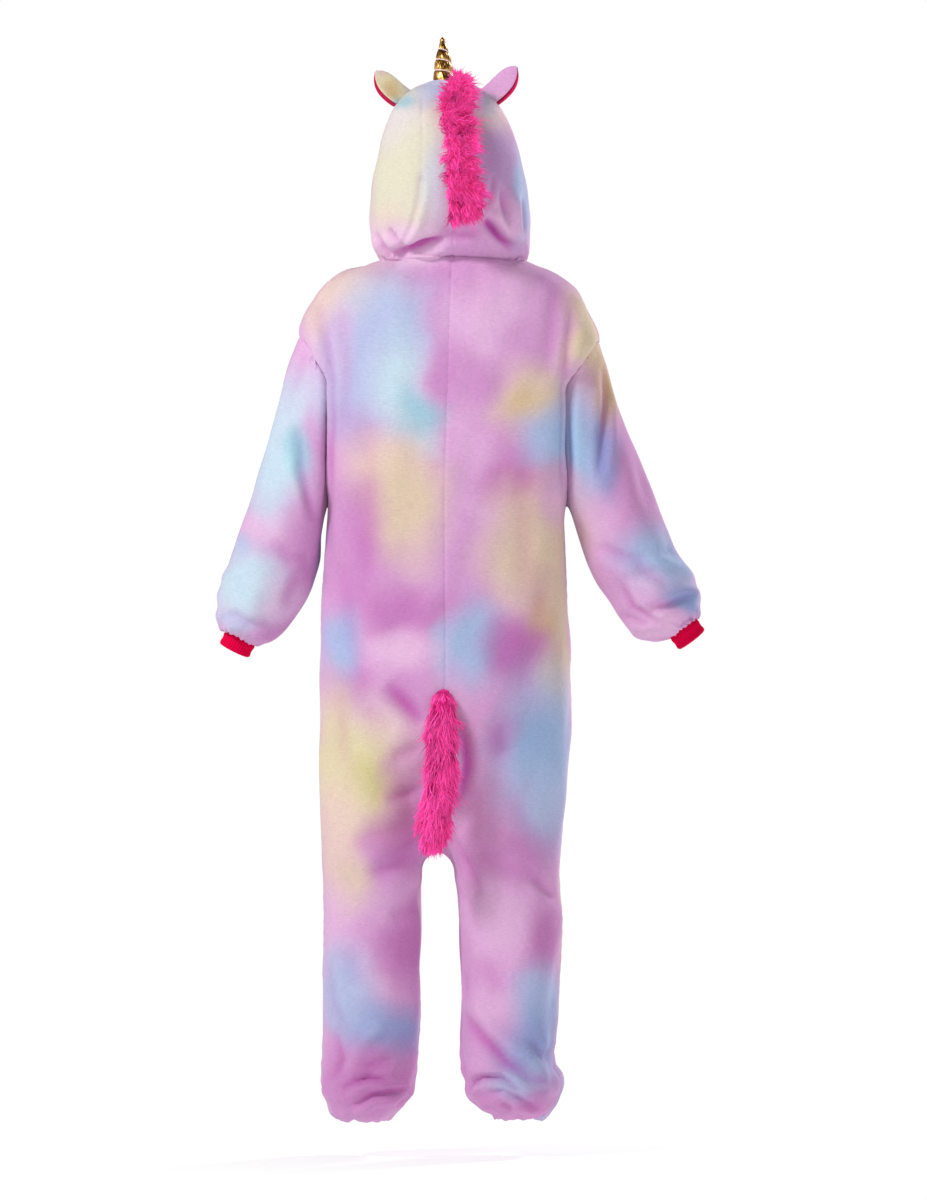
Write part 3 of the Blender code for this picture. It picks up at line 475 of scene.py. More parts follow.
# Folds: half-width, depth, lip, then the line's places (x, height). They are on the back, and on the front in
# the mirror. A minus depth stands proud. A plus lip raises the cloth to the left of the line as it runs.
FOLDS = (
    (7, 8.5, 0.5, ((70, 6), (48, 12), (26, 19), (4, 26))),
    (10, -4, 0, ((64, 13), (42, 43), (31, 100))),
    (5, 3.5, 0.3, ((60, 16), (44, 44), (36, 75), (34, 110))),
    (4, 4, 0.4, ((77, 40), (60, 17))),
    (4, 3.5, 0.4, ((92, 36), (84, 20), (72, 5))),
    (2.5, 0.8, 0, ((32, 217), (32, 146), (34, 74))),
    (7, 9.5, -0.5, ((-50, 51), (-62, 39), (-75, 25), (-88, 14))),
    (9, -4, 0, ((-101, 1), (-86, 47), (-88, 91))),
    (4, 4, 0.4, ((-97, 81), (-99, 44), (-92, 10))),
    (5, 5, 0.4, ((-72, 92), (-77, 55), (-88, 18))),
    (4, 3, 0, ((-50, 62), (-58, 84), (-60, 110))),
    (9, 4, 0.3, ((8, 36), (-14, 28), (-44, 36))),
    (7, 3.5, -0.5, ((-164, -46), (-157, -118), (-155, -160), (-155, -244), (-157, -338))),
    (7, 3.5, 0.5, ((168, -49), (155, -108), (151, -153), (152, -270), (156, -381))),
    (12, 2.5, 0, ((-142, -30), (-136, -88), (-131, -153))),
    (12, 2.5, 0, ((133, -62), (129, -140), (134, -218))),
    (18, 2.5, 0, ((98, -205), (103, -335), (110, -452))),
    (20, 2.5, 0, ((-95, -205), (-100, -335), (-105, -465))),
    (16, 3, 0, ((139, -387), (124, -491), (98, -556))),
    (16, 2.5, 0, ((-131, -387), (-121, -491), (-90, -569))),
    (12, 6, 0.3, ((77, -549), (56, -572), (30, -600))),
    (9, 3, 0.3, ((70, -644), (51, -636), (30, -627))),
    (9, 3, 0.3, ((77, -698), (53, -690), (30, -681))),
    (10, 7, 0.3, ((-6, -590), (-22, -618), (-27, -650), (-22, -686), (-8, -714))),
    (14, 2.5, 0, ((103, -580), (66, -606))),
    (14, 2.5, 0, ((142, -556), (133, -660))),
    (14, 3, 0, ((-61, -598), (-72, -642))),
    (14, 2, 0, ((-75, -686), (-121, -745))),
    (11, 2.5, 0.3, ((103, -796), (66, -782), (32, -764))),
    (12, 2, 0.3, ((133, -758), (87, -741), (38, -732))),
    (6, 3, -0.3, ((-8, -749), (-25, -780), (-43, -819))),
    (14, 2, 0, ((-30, -760), (-75, -788), (-127, -800))),
    (14, 3, 0, ((69, -853), (43, -836), (30, -810))),
    (7, 3, 0.3, ((-113, -798), (-131, -816), (-147, -829))),
    (6, 1.5, 0, ((-10, -809), (-30, -836), (-40, -868))),
    (16, 2.5, 0, ((133, -888), (113, -940))),
    (16, 2.5, 0, ((-43, -901), (-69, -946))),
    (8, 3, 0.3, ((155, -907), (147, -959), (129, -998))),
    (8, -4, 0, ((83, -988), (116, -1020), (126, -1049))),
    (6, 3.5, 0, ((144, -996), (136, -1035), (155, -1066))),
    (5, 5, 0.5, ((135, -1070), (118, -1061), (101, -1056), (74, -1060))),
    (5, 5, 0.5, ((121, -1093), (98, -1079), (74, -1074), (52, -1071))),
    (8, 3, 0, ((110, -1040), (69, -1034))),
    (5, 3, 0, ((46, -1083), (64, -1097))),
    (9, 6, -0.5, ((-20, -972), (-47, -1006), (-77, -1035), (-112, -1056), (-142, -1063))),
    (4.5, 5, 0.6, ((-25, -1075), (-44, -1057), (-69, -1056), (-95, -1072))),
    (4.5, 4, 0.6, ((-53, -1079), (-73, -1072), (-98, -1088), (-118, -1097))),
    (6, 4, 0, ((-108, -1006), (-126, -1032), (-142, -1040))),
    (5, 3, 0, ((-151, -1024), (-129, -1030))),
    (4, 2.5, 0, ((-69, -1089), (-84, -1097))),
    (6, 2.5, 0, ((-21, -918), (-26, -962))),
    (6, 4.5, -0.5, ((-207, -134), (-205, -186), (-198, -277))),
    (8, 3.5, 0.3, ((-198, -369), (-228, -382), (-261, -391))),
    (6, 4, 0.4, ((-261, -452), (-292, -445), (-326, -429))),
    (6, 4, -0.3, ((-224, -416), (-242, -450), (-277, -471))),
    (5, 3, 0, ((-228, -460), (-261, -474))),
    (8, 3, 0.3, ((-243, -395), (-287, -419))),
    (7, 3, 0, ((-300, -369), (-277, -377))),
    (7, 4.5, 0.4, ((195, -212), (190, -270), (170, -338))),
    (9, 2.5, 0, ((183, -117), (202, -173))),
    (12, 2, 0, ((240, -231), (256, -309))),
    (10, 3, 0, ((230, -361), (202, -387), (178, -387))),
    (8, 3, 0.3, ((285, -455), (256, -468), (230, -468))),
    (8, 3, 0, ((191, -407), (209, -446))),
)
FOLD_GAIN = 1.5
FRONT_SHARE = 0.8  # the front's folds are a little shallower


def fold_depth(x, z, lean, half_width, depth, lip, line):
    """One fold's depth at places x, z. lean is how far the cloth there faces the fold's side."""
    line = np.array(line, float)
    reach = 4 * half_width
    low, high = line.min(axis=0) - reach, line.max(axis=0) + reach
    near = (x > low[0]) & (x < high[0]) & (z > low[1]) & (z < high[1]) & (lean > 0)
    out = np.zeros(x.shape)
    if not near.any():
        return out
    flat = np.stack([x[near], z[near]], axis=-1)
    runs = np.diff(line, axis=0)
    lengths = np.linalg.norm(runs, axis=1)
    starts = np.concatenate([[0], np.cumsum(lengths)])
    best = np.full(len(flat), 1e9)
    signed, share = np.zeros(len(flat)), np.zeros(len(flat))
    for start, run, length, gone in zip(line, runs, lengths, starts):
        away = flat - start
        t = np.clip(away @ run / length**2, 0, 1)
        distance = np.linalg.norm(away - t[:, None] * run, axis=1)
        closer = distance < best
        left = np.sign(run[0] * away[:, 1] - run[1] * away[:, 0])
        best = np.where(closer, distance, best)
        signed = np.where(closer, distance * left, signed)
        share = np.where(closer, (gone + t * length) / starts[-1], share)
    taper = np.clip(4 * share * (1 - share), 0, 1) ** 0.5
    trough = np.exp(-((best / half_width) ** 2))
    ridge = np.exp(-(((signed - 1.9 * half_width * np.sign(lip)) / (1.3 * half_width)) ** 2))
    out[near] = depth * (trough - abs(lip) * ridge) * (0.15 + 0.85 * taper) * lean[near]
    return out


def relief(points, normals):
    """How far the cloth sinks in folds, slow swells and small crumples, and how much of that is folds."""
    x, z = points[..., 0], points[..., 2]
    back = np.clip(normals[..., 1] * 2.5, 0, 1)
    front = np.clip(-normals[..., 1] * 2.5, 0, 1) * (z < 0) * ease((abs(x - 2) - 25) / 45)
    depth = np.zeros(x.shape)
    for half_width, deep, lip, line in FOLDS:
        deep *= FOLD_GAIN
        depth += fold_depth(x, z, back, half_width, deep, lip, line)
        mirrored = [(-a, b) for a, b in line]
        depth += FRONT_SHARE * fold_depth(x, z, front, half_width, deep, -lip, mirrored)
    folds = depth.copy()
    calm = 0.45 + 0.55 * ease(-z / 300)
    depth += waves(points, (75, 75, 330), 3) * 2.2 * calm
    depth += waves(points, (38, 38, 70), 5) * 0.8
    ankles = ease((-z - 985) / 70)
    depth += waves(points, (40, 40, 26), 7) * 1.7 * ankles
    wrists = ease((abs(x) - 215) / 40) * ease((-z - 330) / 80)
    return depth + waves(points, (42, 42, 30), 9) * 1.5 * wrists, folds


def gathers(name, points):
    """Pleats that run up from the elastic at the ankles and from the cuffs."""
    rows, columns = points.shape[:2]
    if name.startswith("sleeve"):
        theta = np.linspace(0, 2 * math.pi, columns, endpoint=False)
        pleat = np.sin(22 * theta + 1.2 * np.sin(3 * theta)) + 0.6 * np.sin(13 * theta + 2)
        return np.outer(np.exp(-(((SLEEVE_STEPS - 11) / 0.9) ** 2)), pleat) * 0.9
    if name.startswith(("back", "front")):
        phase = {"back_left": 0.9, "back_right": 2.1, "front_left": 3.3, "front_right": 4.7}[name]
        uneven = 1.5 * np.sin(phase * ACROSS * math.pi)
        pleat = np.sin(10 * math.pi * ACROSS + uneven) * np.sin(math.pi * ACROSS)
        pleat += 0.5 * np.sin(17 * math.pi * ACROSS)
        return np.outer(np.exp(-(((DOWN - 3.95) / 0.045) ** 2)), pleat) * 1.2
    return np.zeros((rows, columns))


SEAM_DEPTH, SEAM_HALF = 1.1, 2.0
HEM_WIDTH = 16.0


def seam_depth(name, points, ring):
    """Valleys along the sewn edges, and a stitched line inside the hood's face hem."""
    left, right, top, _ = along_edges(points, ring)
    steps = HOOD_STEPS[:, None]
    if name.startswith("hood"):
        sewn = [left, np.where(steps < 11, 1e3, right), top]
        hem = np.where((steps > 0.6) & (steps < 11), right, 1e3)
    elif ring:
        sewn, hem = [top], None
    else:
        sewn = [left, right, top]
        hem = None
    depth = sum(np.exp(-((edge / SEAM_HALF) ** 2)) for edge in sewn) * SEAM_DEPTH
    pucker = sum(np.exp(-((edge / 9) ** 2)) for edge in sewn)
    depth += pucker * waves(points, (22, 22, 16), 11) * 0.35
    if hem is not None:
        depth += 0.9 * np.exp(-(((hem - HEM_WIDTH) / 1.4) ** 2)) - 0.7 * (hem < HEM_WIDTH)
    return depth


# ---------------------------------------------------------------- dye and painted crease shade


def linear(red, green, blue):
    """A colour said as a screen's 0 to 255, as the light it gives."""
    share = np.array([red, green, blue]) / 255
    return np.where(share > 0.04045, ((share + 0.055) / 1.055) ** 2.4, share / 12.92)


DYES = {
    "orchid": linear(213, 158, 207),
    "lilac": linear(230, 188, 223),
    "purple": linear(190, 118, 184),
    "plum": linear(184, 92, 170),
    "heather": linear(178, 140, 190),
    "mist": linear(224, 213, 224),
    "cream": linear(216, 210, 188),
    "butter": linear(222, 212, 168),
    "lime": linear(206, 194, 136),
    "beige": linear(230, 204, 190),
    "tan": linear(220, 198, 172),
    "ochre": linear(208, 178, 128),
    "periwinkle": linear(176, 190, 224),
    "sky": linear(160, 188, 224),
    "blue": linear(132, 158, 206),
    "cyan": linear(194, 218, 232),
    "teal": linear(146, 196, 212),
}

# Dyed areas, later ones over earlier: middle x and height, half-width, half-height, dye, strength. They are
# the back's; the front has them in the mirror and moved along, as on one printed length of cloth. A few
# are painted shade rather than dye, marked where they stand.
DYED = (
    (78, 128, 68, 104, "cream", 1.0),
    (50, 150, 44, 70, "cream", 0.9),
    (68, 195, 34, 36, "mist", 0.6),
    (29, 221, 39, 17, "periwinkle", 0.5),
    (9, 226, 16, 13, "periwinkle", 0.7),
    (13, 105, 17, 47, "periwinkle", 0.45),
    (-65, 181, 29, 26, "beige", 0.85),
    (-48, 205, 13, 13, "teal", 0.4),
    # part dye, part painted shadow: heather made stronger to stand for the mane's shadow here
    (-70, 135, 36, 44, "heather", 0.95),
    (-103, 94, 13, 60, "sky", 0.8),
    (77, 47, 18, 21, "beige", 0.4),
    (62, 18, 52, 26, "lilac", 0.9),
    (124, -36, 60, 34, "beige", 0.9),
    (169, -72, 20, 34, "beige", 0.6),
    (53, -18, 39, 18, "purple", 0.45),
    (72, -75, 57, 49, "periwinkle", 0.9),
    (118, -152, 44, 66, "periwinkle", 0.85),
    (60, -164, 32, 64, "cyan", 0.95),
    (27, -202, 26, 26, "teal", 0.8),
    (30, -239, 23, 18, "cyan", 0.5),
    (4, -110, 16, 68, "purple", 0.5),
    (134, -114, 13, 55, "lilac", 0.35),
    (-46, -87, 52, 52, "lilac", 0.55),
    (-127, -36, 34, 34, "purple", 0.2),
    (-108, -104, 34, 31, "purple", 0.35),
    (-22, -153, 29, 39, "purple", 0.4),
    (-186, -95, 29, 70, "tan", 1.0),
    (-107, -176, 39, 39, "tan", 0.9),
    (-95, -182, 17, 21, "ochre", 0.5),
    (-129, -231, 31, 31, "sky", 0.75),
    (-165, -242, 34, 60, "sky", 0.95),
    (-176, -153, 21, 18, "orchid", 0.6),
    (-207, -244, 16, 49, "blue", 0.95),
    (-88, -286, 44, 34, "plum", 0.7),
    (-30, -247, 26, 29, "lilac", 0.35),
    (84, -266, 44, 38, "beige", 0.9),
    (50, -316, 42, 70, "tan", 0.95),
    (114, -334, 30, 48, "plum", 0.3),
    (118, -212, 23, 26, "purple", 0.15),
    (-112, -372, 56, 80, "tan", 0.95),
    (-146, -480, 28, 95, "tan", 0.95),
    (-118, -463, 18, 21, "ochre", 0.6),
    (-144, -306, 22, 34, "orchid", 0.6),
    (117, -400, 34, 57, "purple", 0.25),
    (61, -456, 44, 31, "plum", 0.55),
    (61, -460, 23, 13, "purple", 0.3),
    (138, -498, 22, 44, "sky", 0.85),
    (-32, -494, 36, 47, "sky", 0.9),
    (9, -502, 12, 39, "periwinkle", 0.5),
    (-90, -504, 36, 34, "plum", 0.75),
    (61, -504, 47, 21, "lilac", 0.8),
    (126, -556, 29, 23, "purple", 0.5),
    # painted shadow beside the top of the tail
    (55, -566, 23, 29, "purple", 0.45),
    (81, -604, 49, 23, "lilac", 0.45),
    (147, -624, 23, 65, "butter", 0.6),
    (115, -660, 60, 72, "butter", 0.95),
    (105, -671, 23, 23, "lime", 0.7),
    # painted shade: dark purple beside the tail, where the seat's cloth is in shade
    (51, -666, 29, 42, "purple", 0.55),
    (142, -736, 29, 65, "beige", 0.85),
    (126, -809, 29, 31, "tan", 0.8),
    (54, -735, 42, 44, "plum", 0.5),
    (-124, -630, 52, 84, "sky", 0.95),
    (-114, -615, 32, 45, "blue", 0.35),
    (-133, -710, 31, 55, "periwinkle", 0.75),
    (-74, -618, 18, 26, "purple", 0.45),
    (-76, -775, 56, 40, "plum", 0.45),
    (51, -884, 36, 39, "plum", 0.5),
    (95, -836, 36, 26, "lilac", 0.35),
    (147, -862, 21, 55, "lilac", 0.6),
    (134, -940, 39, 44, "periwinkle", 0.9),
    (84, -994, 49, 31, "blue", 0.8),
    (124, -985, 31, 21, "periwinkle", 0.5),
    (47, -1006, 16, 18, "blue", 0.5),
    (143, -1027, 26, 26, "orchid", 0.5),
    (78, -1060, 70, 42, "plum", 0.6),
    (-90, -1076, 60, 30, "plum", 0.45),
    (-64, -850, 55, 49, "lilac", 0.5),
    (-127, -875, 23, 42, "plum", 0.6),
    (-62, -963, 29, 21, "lilac", 0.4),
    (-122, -959, 34, 42, "sky", 0.8),
    (-118, -1022, 47, 44, "blue", 0.8),
    (-92, -1063, 36, 18, "periwinkle", 0.7),
    (-121, -1095, 23, 13, "plum", 0.4),
    (187, -133, 26, 34, "lilac", 0.5),
    (212, -190, 44, 44, "cyan", 0.75),
    (230, -265, 42, 60, "cyan", 0.95),
    (194, -248, 16, 31, "teal", 0.8),
    (165, -244, 16, 39, "purple", 0.4),
    (240, -343, 36, 17, "lilac", 0.65),
    (264, -421, 49, 47, "cyan", 0.95),
    (269, -373, 10, 12, "periwinkle", 0.6),
    (177, -348, 31, 57, "purple", 0.3),
    (209, -442, 31, 31, "lilac", 0.55),
    (228, -481, 36, 16, "purple", 0.5),
    (280, -468, 23, 12, "periwinkle", 0.5),
    (-212, -166, 17, 42, "ochre", 0.85),
    (-243, -260, 34, 78, "purple", 0.45),
    (-281, -387, 49, 39, "sky", 0.9),
    (-313, -437, 26, 16, "blue", 0.85),
    (-251, -429, 29, 18, "lilac", 0.45),
    (-264, -476, 55, 17, "lilac", 0.6),
    (75, 228, 26, 21, "butter", 0.9),
    (72, 226, 10, 9, "ochre", 0.8),
    (60, 207, 10, 10, "teal", 0.75),
)
FRONT_SHIFT = (12.0, 150.0)
# Painted crease shade: the fold depth at which it is full, how much it darkens each channel, and the magenta
# it leans to
CREASE_FULL = 10.0
PAINTED_CREASE_DARKENING = np.array([0.20, 0.55, 0.24])
PAINTED_CREASE_SHADE = linear(186, 50, 160)
DYE_CORE, DYE_EDGE = 0.3, 1.5  # shares of its half-size to which a dyed area is full, and over which it fades


def dyed_with_painted_crease_shade(points, normals, crease):
    """The cloth's colour at each place: dye, with painted shade in the folds' creases and a painted highlight
    on ridges.
    """
    back = ease(0.5 + 1.3 * normals[..., 1])
    shift_x = waves(points, (80, 80, 80), 21) * 5 + waves(points, (35, 35, 35), 22) * 1.5
    shift_z = waves(points, (80, 80, 80), 23) * 5 + waves(points, (35, 35, 35), 24) * 1.5
    cloudy = waves(points, (110, 110, 130), 25)
    colour = DYES["orchid"] + np.zeros(points.shape)
    colour += (DYES["lilac"] - colour) * ease(cloudy * 0.6)[..., None] * 0.4
    colour += (DYES["purple"] - colour) * ease(-cloudy * 0.6)[..., None] * 0.3
    for x, z, wide, tall, dye, strength in DYED:
        for share, away_x, away_z in (
            (back, points[..., 0] - x, points[..., 2] - z),
            (1 - back, -points[..., 0] - x + FRONT_SHIFT[0], points[..., 2] - z + FRONT_SHIFT[1]),
        ):
            away = np.hypot((away_x + shift_x) / wide, (away_z + shift_z) / tall)
            cover = strength * share * (1 - ease((away - DYE_CORE) / DYE_EDGE))
            colour += (DYES[dye] - colour) * cover[..., None]
    # Painted shade darkens the colour as deep as the cloth sinks in a fold; on a raised ridge a painted
    # highlight lightens it
    painted_shade_and_highlight = np.clip(np.asarray(crease) / CREASE_FULL, -0.35, 1)
    painted_shade_and_highlight = (painted_shade_and_highlight * np.abs(painted_shade_and_highlight) ** 0.5)[..., None]
    deep = colour * (1 - PAINTED_CREASE_DARKENING)
    warm = np.clip(1 + (colour[..., :1] - colour[..., 2:]) / 0.3, 0, 1)  # blue areas stay blue
    deep += (PAINTED_CREASE_SHADE - deep) * warm / 2
    return np.where(painted_shade_and_highlight > 0, colour + (deep - colour) * painted_shade_and_highlight, colour * (1 - painted_shade_and_highlight * PAINTED_CREASE_DARKENING))


# ---------------------------------------------------------------- meshes


def placed(name, data):
    made = bpy.data.objects.new(name, data)
    bpy.context.scene.collection.objects.link(made)
    return made


def finish(name, points, faces, material, slot, colours=None, sharp=50, body=BODY):
    """A piece in metres from millimetre points, riding on its body."""
    mesh = bpy.data.meshes.new(name)
    mesh.from_pydata((np.asarray(points) * MM).tolist(), [], faces)
    mesh.shade_smooth()
    if sharp:
        mesh.set_sharp_from_angle(angle=math.radians(sharp))
    if colours is not None:
        # the 'dye' attribute holds the colour with its painted shade: in the cloth's creases, the cuffs' rib
        # valleys, the fur's roots
        layer = mesh.color_attributes.new("dye", "FLOAT_COLOR", "POINT")
        layer.data.foreach_set("color", np.concatenate([colours, np.ones((len(colours), 1))], axis=1).ravel())
    mesh.materials.append(material)
    made = placed(name, mesh)
    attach(made, body)
    return made


def loft(outer, inner, ring):
    """Points and faces of a wall between two skins, with its rims, facing out where outer's grid turns
    anticlockwise seen from outside."""
    rows, columns = outer.shape[:2]
    points = np.concatenate([outer.reshape(-1, 3), inner.reshape(-1, 3)])
    grid = np.arange(rows * columns).reshape(rows, columns)
    if ring:
        grid = np.concatenate([grid, grid[:, :1]], axis=1)
    far = grid + rows * columns
    skin, back = quads(grid), np.roll(quads(far)[:, ::-1], 1, axis=1)
    rims = [(grid[0, ::-1], far[0, ::-1]), (grid[-1], far[-1])]
    if not ring:
        rims += [(grid[:, 0], far[:, 0]), (grid[::-1, -1], far[::-1, -1])]
    edges = [np.stack([near[:-1], near[1:], deep[1:], deep[:-1]], axis=-1) for near, deep in rims]
    return points, np.concatenate([skin, back, *edges])


def quads(grid):
    """Faces between the rows and columns of a grid of point numbers."""
    corners = [grid[:-1, :-1], grid[:-1, 1:], grid[1:, 1:], grid[1:, :-1]]
    return np.stack(corners, axis=-1).reshape(-1, 4)


def facing_out(points, faces):
    """The faces of a closed piece, turned round if its volume comes out below zero."""
    corners = np.array([face[:3] for face in faces] + [[f[0], f[2], f[3]] for f in faces if len(f) > 3])
    a, b, c = (points[corners[:, n]] for n in range(3))
    return [face[::-1] for face in faces] if (a * np.cross(b, c)).sum() < 0 else faces


def tidy(points, faces):
    """Points at one place made one, faces with no area dropped, and the rest turned to face out."""
    spots, index = np.unique(np.round(points, 4), axis=0, return_inverse=True)
    index = index.reshape(-1)
    made = []
    for face in index[faces].tolist():
        kept = [corner for n, corner in enumerate(face) if corner != face[n - 1]]
        if len(set(kept)) > 2:
            made.append(kept)
    return spots, facing_out(spots, made), index


def closed(rings):
    """Points and faces of rings of points that shrink to a point at both ends."""
    rows, columns = rings.shape[:2]
    index = np.arange(rows * columns).reshape(rows, columns)
    return tidy(rings.reshape(-1, 3), quads(np.concatenate([index, index[:, :1]], axis=1)))[:2]


def piece(name, skins, ring, material, slot, colours=None, sharp=50):
    """A walled piece from its outer and inner grids."""
    points, faces = loft(*skins, ring)
    spots, kept, index = tidy(points, faces)
    if colours is not None:
        flat = np.zeros((len(spots), 3))
        flat[index] = np.concatenate([colours.reshape(-1, 3)] * 2)
        colours = flat
    return finish(name, spots, kept, material, slot, colours, sharp)


# ---------------------------------------------------------------- materials


def node(tree, kind, inputs=None, **settings):
    """A shader node. An input is a value, or the output of another node."""
    made = tree.nodes.new(kind)
    for key, value in settings.items():
        setattr(made, key, value)
    for key, value in (inputs or {}).items():
        if isinstance(value, bpy.types.NodeSocket):
            tree.links.new(value, made.inputs[key])
        else:
            made.inputs[key].default_value = value
    return made


def new_material(name, roughness, metallic=0.0, sheen=0.0, specular=0.5):
    made = bpy.data.materials.new(name)
    made.use_nodes = True
    shader = made.node_tree.nodes["Principled BSDF"]
    shader.inputs["Roughness"].default_value = roughness
    shader.inputs["Metallic"].default_value = metallic
    shader.inputs["Sheen Weight"].default_value = sheen
    shader.inputs["Sheen Roughness"].default_value = 0.45
    shader.inputs["Specular IOR Level"].default_value = specular
    return made, made.node_tree, shader


def noise(tree, stretch, detail=3.0, roughness=0.6):
    """Noise in the object's own metres; stretch is features per metre along x, y and z."""
    place = node(tree, "ShaderNodeTexCoord").outputs["Object"]
    scaled = node(tree, "ShaderNodeMapping", {"Vector": place, "Scale": stretch}, vector_type="POINT")
    return node(
        tree,
        "ShaderNodeTexNoise",
        {"Vector": scaled.outputs["Vector"], "Scale": 1.0, "Detail": detail, "Roughness": roughness},
    ).outputs["Fac"]


def ranged(tree, value, low, high, to_low, to_high):
    inputs = {"Value": value, "From Min": low, "From Max": high, "To Min": to_low, "To Max": to_high}
    return node(tree, "ShaderNodeMapRange", inputs).outputs["Result"]


def scaled_colour(tree, colour, amount):
    inputs = {0: colour, "Scale": amount}
    return node(tree, "ShaderNodeVectorMath", inputs, operation="SCALE").outputs["Vector"]


def product(tree, a, b):
    return node(tree, "ShaderNodeMath", {0: a, 1: b}, operation="MULTIPLY").outputs["Value"]


def added(tree, a, b):
    return node(tree, "ShaderNodeMath", {0: a, 1: b}, operation="ADD").outputs["Value"]


def dye_and_painted_shade_of(tree):
    return node(tree, "ShaderNodeAttribute", attribute_name="dye").outputs["Color"]


def plain_colour(tree, colour):
    tint = node(tree, "ShaderNodeRGB").outputs["Color"]
    tint.default_value = (*colour, 1)
    return tint


def coloured(tree, shader, colour, amount):
    tree.links.new(scaled_colour(tree, colour, amount), shader.inputs["Base Color"])


def bumped(tree, shader, height, strength, distance):
    bump = node(tree, "ShaderNodeBump", {"Height": height, "Strength": strength, "Distance": distance})
    tree.links.new(bump.outputs["Normal"], shader.inputs["Normal"])


def fleece_material(name, plain=None):
    """Brushed fleece: short soft pile, combed in fine lines across the cloth, over dye with painted crease
    shade, or a plain colour.
    """
    made, tree, shader = new_material(name, 0.95, sheen=0.22, specular=0.12)
    shader.inputs["Sheen Tint"].default_value = (1.0, 0.95, 1.0, 1)
    grain = noise(tree, (750, 750, 750), 3)
    combed = noise(tree, (170, 170, 800), 2)
    tufts = noise(tree, (140, 140, 160), 4, 0.65)
    speckle = ranged(tree, grain, 0.3, 0.7, -0.045, 0.045)
    mottle = added(tree, speckle, ranged(tree, combed, 0.3, 0.7, 0.85, 0.97))
    mottle = product(tree, mottle, ranged(tree, tufts, 0.3, 0.7, 0.975, 1.025))
    coloured(tree, shader, dye_and_painted_shade_of(tree) if plain is None else plain_colour(tree, plain), mottle)
    coarse = added(tree, product(tree, combed, 0.5), product(tree, tufts, 1.2))
    height = added(tree, product(tree, grain, 0.6), coarse)
    bumped(tree, shader, height, 0.5, 0.0012)
    return made


def rib_material():
    """Knitted rib: the ribs are modelled, the stitches along them are fine rows; its colour has painted shade
    in the ribs' valleys.
    """
    made, tree, shader = new_material("rib_knit", 0.9, specular=0.04)
    stitch = noise(tree, (500, 500, 900), 2)
    slow = noise(tree, (60, 60, 60), 2)
    rows = ranged(tree, stitch, 0.3, 0.7, 0.88, 1.08)
    amount = product(tree, rows, ranged(tree, slow, 0.3, 0.7, 0.94, 1.04))
    coloured(tree, shader, dye_and_painted_shade_of(tree), amount)
    bumped(tree, shader, stitch, 0.5, 0.0008)
    return made


FUR_GLOW = 0.14  # stands for the light that passes through thin fibres


def fur_material():
    """Acrylic fur: each lock brings its own colour, darkened towards the root by painted shade, and a painted
    glow.
    """
    made, tree, shader = new_material("acrylic_fur", 0.6, specular=0.12)
    fibre = noise(tree, (400, 400, 400), 2)
    colour = dye_and_painted_shade_of(tree)
    coloured(tree, shader, colour, ranged(tree, fibre, 0.3, 0.7, 0.9, 1.1))
    tree.links.new(colour, shader.inputs["Emission Color"])
    shader.inputs["Emission Strength"].default_value = FUR_GLOW
    bumped(tree, shader, fibre, 0.2, 0.0005)
    return made


def lame_material():
    """Gold lame: thin metal cloth in many small creases, with painted shade making it brown in their depths.
    """
    made, tree, shader = new_material("gold_lame", 0.34, metallic=1.0)
    crease = noise(tree, (150, 150, 45), 3, 0.55)
    weave = noise(tree, (1500, 1500, 1500), 1)
    # painted shade: dark brown in the creases' depths, gold on their crests, from the same noise as the bump
    ramp = node(tree, "ShaderNodeValToRGB", {"Fac": crease})
    stops = ramp.color_ramp.elements
    stops[0].position, stops[0].color = 0.38, (0.16, 0.07, 0.012, 1)
    stops[1].position, stops[1].color = 0.68, (0.66, 0.42, 0.17, 1)
    middle = stops.new(0.52)
    middle.color = (0.50, 0.26, 0.07, 1)
    tree.links.new(ramp.outputs["Color"], shader.inputs["Base Color"])
    tree.links.new(ranged(tree, weave, 0.3, 0.7, 0.28, 0.42), shader.inputs["Roughness"])
    bumped(tree, shader, added(tree, crease, product(tree, weave, 0.05)), 0.5, 0.0014)
    return made


def plain_material(name, colour, roughness, metallic=0.0, grain=900, amount=0.06, depth=0.0003):
    """A colour with fine unevenness in its shade and surface."""
    made, tree, shader = new_material(name, roughness, metallic)
    fine = noise(tree, (grain, grain, grain), 3)
    shade = ranged(tree, fine, 0.3, 0.7, 1 - amount, 1 + amount)
    coloured(tree, shader, plain_colour(tree, colour), shade)
    bumped(tree, shader, fine, 0.3, depth)
    return made


# ---------------------------------------------------------------- cloth

FLEECE = fleece_material("fleece_dyed")
sheets = {}
for side, word in ((1, "left"), (-1, "right")):
    back_grid = body_sheet(side, 1)
    front_grid = front_room(body_sheet(side, -1), side)
    sheets[f"back_{word}"] = (back_grid, False, side)
    sheets[f"front_{word}"] = (front_grid, False, -side)
    sheets[f"sleeve_{word}"] = (sleeve_sheet(side), True, -side)
    sheets[f"hood_{word}"] = (hood_sheet(side, back_grid, front_grid), False, -side)

smooth_normals = shared_normals(sheets)

shaped, creases = {}, {}
for name, (points, ring, flip) in sheets.items():
    normals = smooth_normals[name]
    depth, folds = relief(points, normals)
    pleats = gathers(name, points)
    # fold and pleat depths; they set the painted shade in the creases
    creases[name] = folds + 1.5 * pleats
    shaped[name] = (points - normals * (depth + pleats)[..., None], ring, flip)
cloth_normals = shared_normals(shaped)

